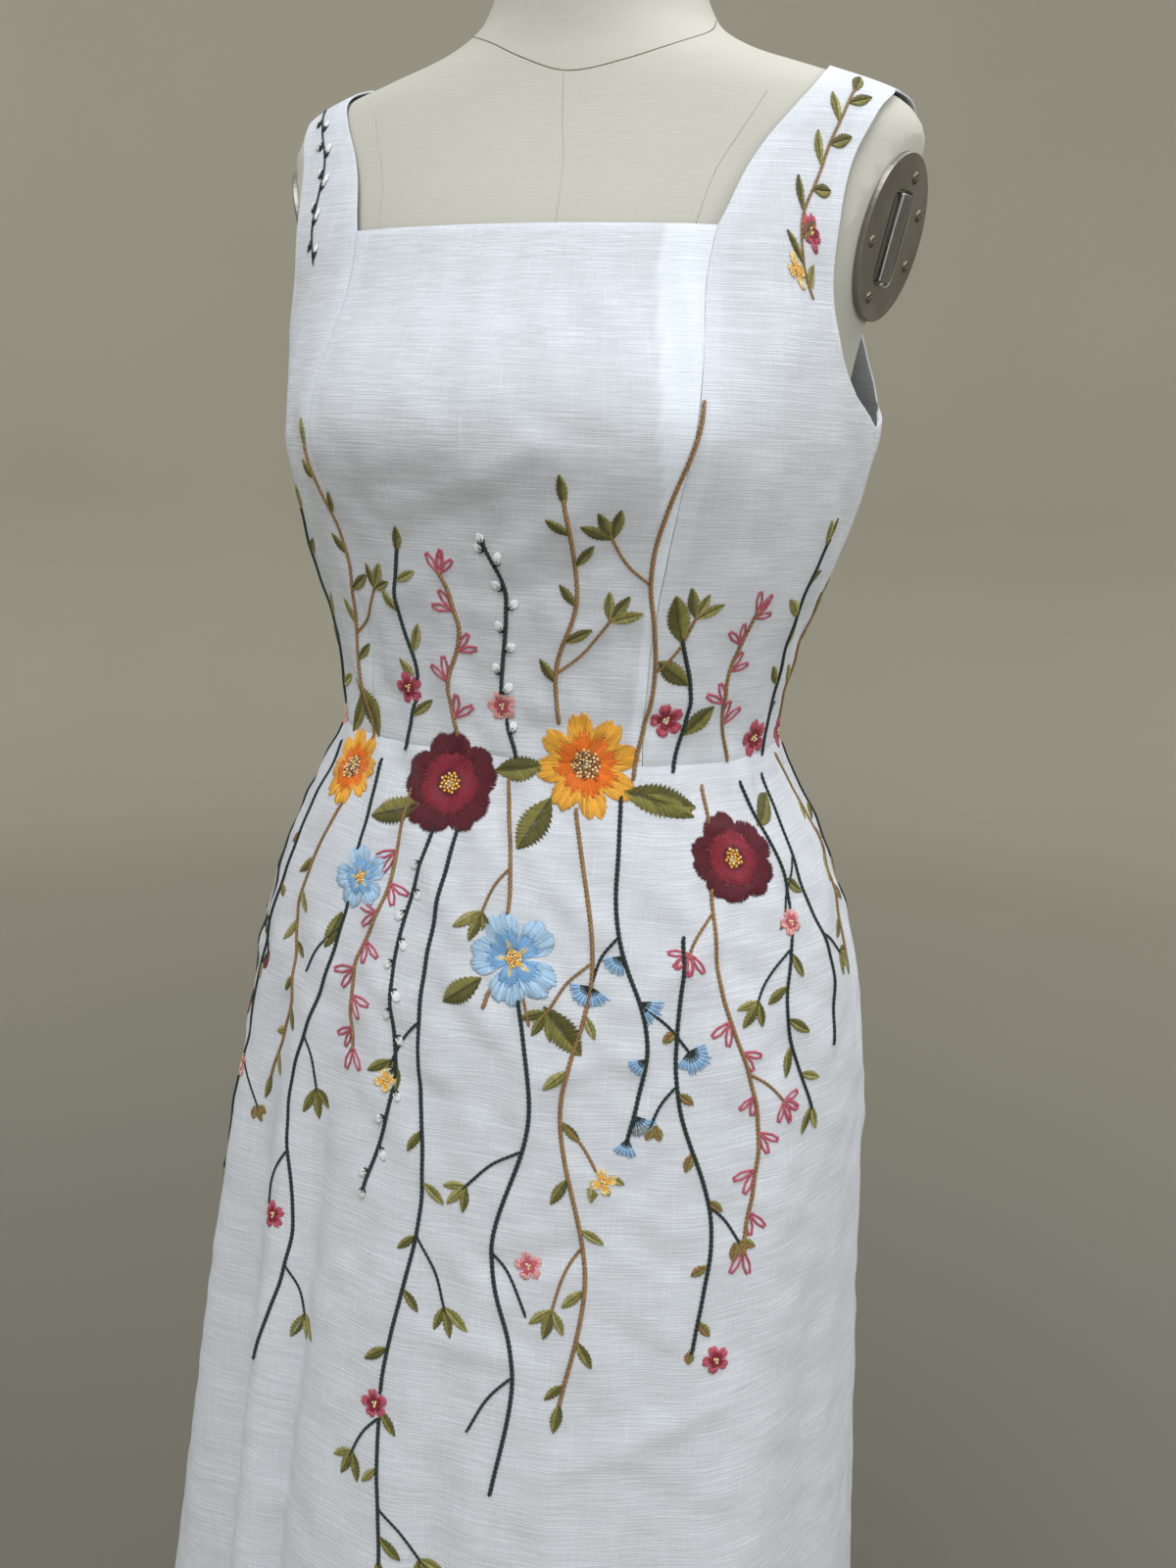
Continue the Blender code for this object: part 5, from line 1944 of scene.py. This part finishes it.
    def build(self) -> None:
        """Sews all the embroidery."""
        chart = DressChart()
        stems = Stitchery(chart, 1)
        for trail in self.trails:
            self.grow(stems, trail)
        stems.clear_under([
            (Spot(math.radians(azimuth), height), radius * self.cover)
            for azimuth, height, radius, _ in self.flowers + self.blossoms
        ])
        stems.sew("embroidery_trails", self.cotton, 3)
        flowers = Stitchery(chart, 2)
        for azimuth, height, turn, length in self.broad_leaves:
            spot = Spot(math.radians(azimuth), height, math.radians(turn))
            flowers.leaf(spot, length, length * 0.5, Thread.OLIVE, Thread.MOSS)
        for table, turn in ((self.flowers, 0.2), (self.blossoms, 0.1)):
            for azimuth, height, radius, bloom in table:
                self.flower(flowers, Spot(math.radians(azimuth), height, turn), radius, bloom)
        flowers.sew("embroidery_flowers", self.cotton)
        self.strap_sprays()
        tack = self.strap_work("left", 9)
        rise = np.linspace(-0.004, 0.004, 6)
        start = pairs(np.full(6, -0.003), rise)
        end = start + (0.0026, 0.0004)
        tack.lay(Spot(0.985, 0.452), start, end, Thread.WHITE, 0.0006, 0.0007)
        tack.sew("underarm_tack", self.cotton)


@dataclass
class DressForm:
    """The canvas torso with its seams, and the arm plates."""

    around: int = 168
    rings: int = 150
    top: float = 1.54
    plate_centre: Triple = (0.1735, -0.01, 1.3385)
    plate_tilt: float = math.radians(13)
    plate_turn: float = math.radians(18)
    plate_half: tuple[float, float] = (0.043, 0.031)
    plate_thickness: float = 0.003
    slot_half: tuple[float, float] = (0.024, 0.0105)
    lever_half: tuple[float, float] = (0.0225, 0.0055)
    lever_thickness: float = 0.005
    rest_gap: float = 0.0003
    rim_radius: float = 0.0008
    slot_power: float = 6
    screw_radius: float = 0.0034
    screw_depth: float = 0.0009
    # along the plate's height, across it
    screws: Rows = (
        (0.031, -0.009), (0.012, 0.0215), (-0.014, 0.0205), (-0.031, 0.006), (0.004, -0.0215),
    )
    # azimuth in degrees, height of the seam round the neck's foot
    neck_seam: Rows = (
        (-180, 1.47), (-120, 1.462), (-75, 1.45), (-40, 1.437), (-20, 1.4265), (6, 1.4175),
        (32, 1.4225), (60, 1.437), (88, 1.454), (120, 1.462), (180, 1.47),
    )

    def plate_matrix(self, side: int) -> Matrix:
        """Finds the place of an arm plate's seat.

        Args:
            side: 1 for the left, -1 for the right.

        Returns:
            Its matrix, whose Z points out of the form's side.
        """
        across, forward, height = self.plate_centre
        tilt = Matrix.Rotation(side * (math.pi / 2 + self.plate_tilt), 4, "Y")
        turn = Matrix.Rotation(-side * self.plate_turn, 4, "Z")
        return Matrix.Translation((side * across, -forward, height)) @ turn @ tilt

    def torso(self) -> Object:
        """Makes the canvas-covered torso, with its sides cut flat for the arm plates.

        Returns:
            The torso.
        """
        samples = np.linspace(FORM.sections[0][0], self.top, 1500)
        width = FORM_TABLE.column(samples, 0)
        run = np.concatenate([[0], np.cumsum(np.hypot(np.diff(samples), np.diff(width)))])
        levels = np.interp(np.linspace(0, run[-1], self.rings), run, samples)
        azimuth = np.linspace(-math.pi, math.pi, self.around + 1)[None, :]
        azimuth, height = np.broadcast_arrays(azimuth, levels[:, None])
        mesh = grid_mesh("torso", at(FORM.radius(azimuth, height), azimuth, height))
        paint_uv(mesh, "cloth", np.stack([azimuth * 0.12, height], axis=-1))
        skin = bmesh.new()
        skin.from_mesh(mesh)
        bmesh.ops.remove_doubles(skin, verts=skin.verts, dist=0.00001)
        bmesh.ops.holes_fill(skin, edges=[edge for edge in skin.edges if edge.is_boundary])
        for side in (1, -1):
            normal = self.plate_matrix(side).to_3x3() @ Vector((0, 0, 1))
            cut = bmesh.ops.bisect_plane(
                skin,
                geom=[*skin.verts, *skin.edges, *skin.faces],
                plane_co=self.plate_matrix(side).translation,
                plane_no=normal,
                clear_outer=True,
            )
            edges = [part for part in cut["geom_cut"] if isinstance(part, bmesh.types.BMEdge)]
            bmesh.ops.holes_fill(skin, edges=edges)
        bmesh.ops.recalc_face_normals(skin, faces=skin.faces)
        bpy.data.meshes.remove(mesh)
        torso = place_object(
            "form_torso_canvas", smooth(new_mesh("torso", skin)), CANVAS.make(),
            ("form_torso",),
        )
        edge = torso.modifiers.new("rolled_edge", "BEVEL")
        edge.width = 0.002
        edge.segments = 3
        edge.limit_method = "ANGLE"
        edge.angle_limit = math.radians(50)
        edge.harden_normals = False
        return torso

    def seams(self, cotton: Material) -> None:
        """Sews the canvas cover's seams: round the neck's foot, down the front and the back.

        Args:
            cotton: the thread's material.
        """
        work = Stitchery(FormChart(), 21)
        table = SmoothTable(self.neck_seam)
        azimuth = np.linspace(-178, 178, 150)
        neck = pairs(np.radians(azimuth), table.column(azimuth, 0))
        # The neck seam is laid in a dark thread as painted shadow of the step at the neck's foot,
        # which the torso's shape does not have.
        self.seam(work, neck, Thread.CANVAS_SEAM_AND_SHADOW, 0.0007)
        lines = (
            ((4, 1.418), (8, 1.39), (12, 1.36), (12, 1.3), (8, 1.235)),
            ((66, 1.405), (60, 1.38), (55, 1.36), (47, 1.31), (37, 1.235)),
            ((-66, 1.405), (-60, 1.38), (-55, 1.36), (-47, 1.31), (-37, 1.235)),
            ((180, 1.468), (180, 1.42), (180, 1.37), (180, 1.3)),
            ((150, 1.45), (152, 1.42), (153, 1.37), (152, 1.3)),
            ((-150, 1.45), (-152, 1.42), (-153, 1.37), (-152, 1.3)),
        )
        for points in lines:
            line = line_through(np.array(points) * (math.pi / 180, 1), 70)
            self.seam(work, line, Thread.CANVAS_FOLD, 0.0005)
        work.sew("form_seams", cotton, 3)

    @staticmethod
    def seam(work: Stitchery, line: Array, colour: Thread, width: float) -> None:
        """Lays a fine seam as short flat stitches end to end.

        Args:
            work: where to sew it.
            line: the seam's coordinates.
            colour: the thread.
            width: the seam's width.
        """
        count = len(line) - 1
        tint = np.tile(colour.value, (count, 1))
        size = np.tile((width, 0.0004), (count, 1))
        step = (line[1:] - line[:-1]) * 0.08
        work.rows.append(np.concatenate([line[:-1] - step, line[1:] + step, size, tint], axis=1))

    def plate(self, side: int, word: str, steel: Material) -> None:
        """Makes an oval steel plate with a slot and rounded rims.

        Args:
            side: 1 for the left, -1 for the right.
            word: the same in a word.
            steel: its material.
        """
        shape = bmesh.new()
        outer = bmesh.ops.create_circle(shape, segments=64, radius=1)["verts"]
        inner = bmesh.ops.create_circle(shape, segments=64, radius=1)["verts"]
        bmesh.ops.scale(shape, verts=outer, vec=(*self.plate_half, 1))
        for vert in inner:
            angle = math.atan2(vert.co.y, vert.co.x)
            across, along = abs(math.cos(angle)), abs(math.sin(angle))
            power = self.slot_power
            reach = (across**power + along**power) ** (-1 / power)
            vert.co.x, vert.co.y = reach * math.cos(angle), reach * math.sin(angle)
        bmesh.ops.scale(shape, verts=inner, vec=(*self.slot_half, 1))
        bmesh.ops.bridge_loops(shape, edges=shape.edges[:])
        top = bmesh.ops.extrude_face_region(shape, geom=shape.faces[:])
        lifted = [part for part in top["geom"] if isinstance(part, bmesh.types.BMVert)]
        bmesh.ops.translate(shape, verts=lifted, vec=(0, 0, self.plate_thickness))
        bmesh.ops.recalc_face_normals(shape, faces=shape.faces)
        upper = set(lifted)
        rims = [edge for edge in shape.edges
                if all(v in upper for v in edge.verts)
                and abs(edge.link_faces[0].normal.dot(edge.link_faces[1].normal)) < 0.5]
        round_off(shape, rims, self.rim_radius)
        lift = Matrix.Translation((0, 0, self.rest_gap))
        bmesh.ops.transform(shape, matrix=self.plate_matrix(side) @ lift, verts=shape.verts)
        name = f"arm_plate_{word}"
        place_object(f"{name}_steel", new_mesh(name, shape), steel, (name,))

    @staticmethod
    def bar(size: Triple, rounding: float) -> bmesh.types.BMesh:
        """Shapes a block with rounded edges.

        Args:
            size: half its sizes.
            rounding: its edges' radius.

        Returns:
            The block, standing on its seat.
        """
        shape = bmesh.new()
        bmesh.ops.create_cube(shape, size=2)
        bmesh.ops.scale(shape, verts=shape.verts, vec=size)
        round_off(shape, shape.edges[:], rounding)
        bmesh.ops.translate(shape, verts=shape.verts, vec=(0, 0, size[2]))
        return shape

    def fittings(self, side: int, word: str, finishes: dict[str, Material]) -> None:
        """Makes a plate, its lever and its screws.

        Args:
            side: 1 for the left, -1 for the right.
            word: the same in a word.
            finishes: the materials of plate, lever and screw.
        """
        self.plate(side, word, finishes["plate"])
        place = self.plate_matrix(side) @ Matrix.Translation((0, 0, self.rest_gap))
        lever = self.bar((*self.lever_half, self.lever_thickness / 2), 0.001)
        bmesh.ops.transform(lever, matrix=place, verts=lever.verts)
        name = f"arm_lever_{word}"
        mesh = smooth(new_mesh(name, lever))
        place_object(f"{name}_steel", mesh, finishes["lever"], (name,))
        heads = bmesh.new()
        for along, across in self.screws:
            head = bmesh.new()
            bmesh.ops.create_cone(
                head, cap_ends=True, segments=20, radius1=self.screw_radius,
                radius2=self.screw_radius * 0.7, depth=self.screw_depth,
            )
            seat = Matrix.Translation((along, across, self.plate_thickness + 0.00035))
            bmesh.ops.transform(head, matrix=seat, verts=head.verts)
            for turn in (25, 115):
                groove = self.bar((self.screw_radius * 0.62, 0.00035, 0.0002), 0.0001)
                spin = Matrix.Rotation(math.radians(turn), 4, "Z")
                lift = Matrix.Translation((along, across, self.plate_thickness + 0.0006))
                bmesh.ops.transform(groove, matrix=lift @ spin, verts=groove.verts)
                mesh = new_mesh("groove", groove)
                mesh.polygons.foreach_set("material_index", [1] * len(mesh.polygons))
                head.from_mesh(mesh)
            heads.from_mesh(new_mesh("head", head))
        bmesh.ops.transform(heads, matrix=place, verts=heads.verts)
        mesh = new_mesh("screws", heads)
        screws = place_object(f"arm_screws_{word}", mesh, finishes["screw"])
        screws.data.materials.append(finishes["plate"])

    def build(self, cotton: Material) -> str:
        """Makes the form.

        Args:
            cotton: the material of its seams' thread.

        Returns:
            The name of the torso's piece.
        """
        torso = self.torso()
        self.seams(cotton)
        finishes = {
            "plate": PLATE_STEEL.make(), "lever": LEVER_STEEL.make(), "screw": SCREW_METAL.make(),
        }
        for side, word in ((1, "left"), (-1, "right")):
            self.fittings(side, word, finishes)
        return torso.name


@dataclass
class Stand:
    """The round base, the pole and the flange under the form."""

    steps: int = 96
    # radius, height, from the axis at the top to the axis at the bottom
    base: Rows = (
        (0.0, 0.034), (0.0245, 0.034), (0.026, 0.0325), (0.0275, 0.0318), (0.1, 0.0215),
        (0.184, 0.0122), (0.1885, 0.0105), (0.19, 0.0085), (0.19, 0.0), (0.0, 0.0),
    )
    pole: Rows = ((0.0, 0.7294), (0.0125, 0.7294), (0.0125, 0.0343), (0.0, 0.0343))
    flange: Rows = (
        (0.0, 0.7397), (0.044, 0.7397), (0.045, 0.7387), (0.045, 0.7307), (0.044, 0.7297),
        (0.0, 0.7297),
    )

    def turned(self, name: str, profile: Rows, paint: Material) -> None:
        """Makes a piece spun from its profile.

        Args:
            name: the CAD node that it stands for.
            profile: radius and height of each corner.
            paint: its material.
        """
        mesh = spun(name, profile, self.steps)
        mesh.set_sharp_from_angle(angle=math.radians(35))
        place_object(f"{name}_painted", mesh, paint, (name,))

    def build(self) -> None:
        """Makes the stand."""
        paint = STAND_PAINT.make()
        self.turned("stand_base", self.base, paint)
        self.turned("stand_pole", self.pole, paint)
        self.turned("stand_flange", self.flange, paint)


@dataclass
class Studio:
    """The plain backdrop, the soft lights and the camera."""

    yaw: float = math.radians(20.0)
    pitch: float = math.radians(13.8162)
    roll: float = math.radians(1.9786)
    eye: Triple = (0.3065, -0.7917, 1.2307)
    sensor: float = 36.0
    lens: float = 36.0 * 1440.9 / 1600
    floor_radius: float = 3.2
    bend_radius: float = 1.0
    wall_top: float = 4.0
    near_shade: float = 0.32
    aim: Triple = (0, 0, 1.05)
    paper: Triple = (0.46, 0.434, 0.35)

    def camera(self) -> None:
        """The camera, from above the wearer's left front."""
        cos, sin = math.cos(self.pitch), math.sin(self.pitch)
        forward = Vector((-math.sin(self.yaw) * cos, math.cos(self.yaw) * cos, -sin))
        right = Vector((math.cos(self.yaw), math.sin(self.yaw), 0))
        up = right.cross(forward)
        across = right * math.cos(self.roll) + up * math.sin(self.roll)
        upward = up * math.cos(self.roll) - right * math.sin(self.roll)
        data = bpy.data.cameras.new("camera")
        data.sensor_width = self.sensor
        data.lens = self.lens
        data.clip_start = 0.05
        camera = bpy.data.objects.new("camera", data)
        bpy.context.scene.collection.objects.link(camera)
        axes = Matrix((across, upward, -forward)).transposed().to_4x4()
        camera.matrix_world = Matrix.Translation(self.eye) @ axes
        bpy.context.scene.camera = camera

    def backdrop(self) -> None:
        """A plain floor that curves up into a wall all round, its colour darker near the middle as
        painted shade.
        """
        wall = self.floor_radius + self.bend_radius
        profile = [(0.0, 0.0), (self.floor_radius, 0.0)]
        profile += [
            (self.floor_radius + self.bend_radius * math.sin(angle),
             self.bend_radius * (1 - math.cos(angle)))
            for angle in np.linspace(0, math.pi / 2, 13)[1:]
        ]
        profile.append((wall, self.wall_top))
        mesh = spun("backdrop", profile, 96)
        if mesh.polygons[0].normal.z < 0:
            mesh.flip_normals()
        material, bench, shader = Finish("backdrop_paper", self.paper, 0.9).start()
        where = bench.places()
        value = bench.math("MULTIPLY_ADD", bench.noise(where, 1.3), 0.08, 0.94)
        away = bench.add("ShaderNodeVectorMath", {0: where}, operation="LENGTH").outputs["Value"]
        # The paper's colour darkens towards the middle, down to near_shade times its own: painted
        # shade on the floor and the lower wall.
        near = (*(self.near_shade * part for part in self.paper), 1)
        painted_shade_paper = bench.mix(bench.ramp(away, 0.2, wall + 0.6), near, (*self.paper, 1))
        bench.set(shader, {"Base Color": bench.scaled(painted_shade_paper, value)})
        mesh.materials.append(material)
        floor = bpy.data.objects.new("backdrop", mesh)
        bpy.context.scene.collection.objects.link(floor)

    def light(self, name: str, place: Triple, size: float, power: float, colour: Triple) -> None:
        """Sets up a square soft light, aimed at the dress.

        Args:
            name: its name.
            place: where it is.
            size: its width.
            power: in watts.
            colour: its colour.
        """
        data = bpy.data.lights.new(name, "AREA")
        data.size = size
        data.energy = power
        data.color = colour
        lamp = bpy.data.objects.new(name, data)
        bpy.context.scene.collection.objects.link(lamp)
        lamp.location = place
        lamp.visible_camera = False
        aim = Vector(self.aim) - lamp.location
        lamp.rotation_euler = aim.to_track_quat("-Z", "Y").to_euler()

    def build(self) -> None:
        """Sets the stage."""
        self.camera()
        self.backdrop()
        self.light("key", (-0.2, -1.6, 4.5), 2.4, 116.0, (0.985, 0.99, 1.0))
        self.light("low_fill", (0.7, -2.6, 0.8), 1.6, 14.0, (0.97, 0.985, 1.0))
        self.light("side", (2.2, -0.6, 2.0), 1.4, 19.0, (0.98, 0.99, 1.0))
        self.light("wash", (1.3, 1.2, 3.4), 1.8, 33.0, (1.0, 0.99, 0.97))
        world = bpy.data.worlds.new("studio")
        bpy.context.scene.world = world
        world.use_nodes = True
        sky = world.node_tree.nodes["Background"]
        sky.inputs[0].default_value = (0.78, 0.81, 0.86, 1)
        sky.inputs[1].default_value = 0.62
        bpy.context.scene.view_settings.view_transform = "Standard"


def finish_zip() -> None:
    """Gives the zip's slider and pull tab their enamel."""
    enamel = ENAMEL.make()
    for name in ("zip_slider", "zip_pull"):
        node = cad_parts[name]
        node.data.materials.clear()
        node.data.materials.append(enamel)
        LOG.info("%s: enamelled", name)


def main() -> None:
    """Builds the form, its stand, the dress, its embroidery and the stage."""
    logging.basicConfig(level=logging.INFO, format="%(message)s")
    cotton = THREAD.make()
    torso = DressForm().build(cotton)
    Stand().build()
    dress = Dress(BodiceCut())
    dress.build(torso)
    side = dress.front_side()
    panels = {panel.name: panel for panel in (side, side.mirrored())}
    Wildflowers(panels, cotton).build()
    finish_zip()
    Studio().build()


if __name__ == "__main__":
    main()
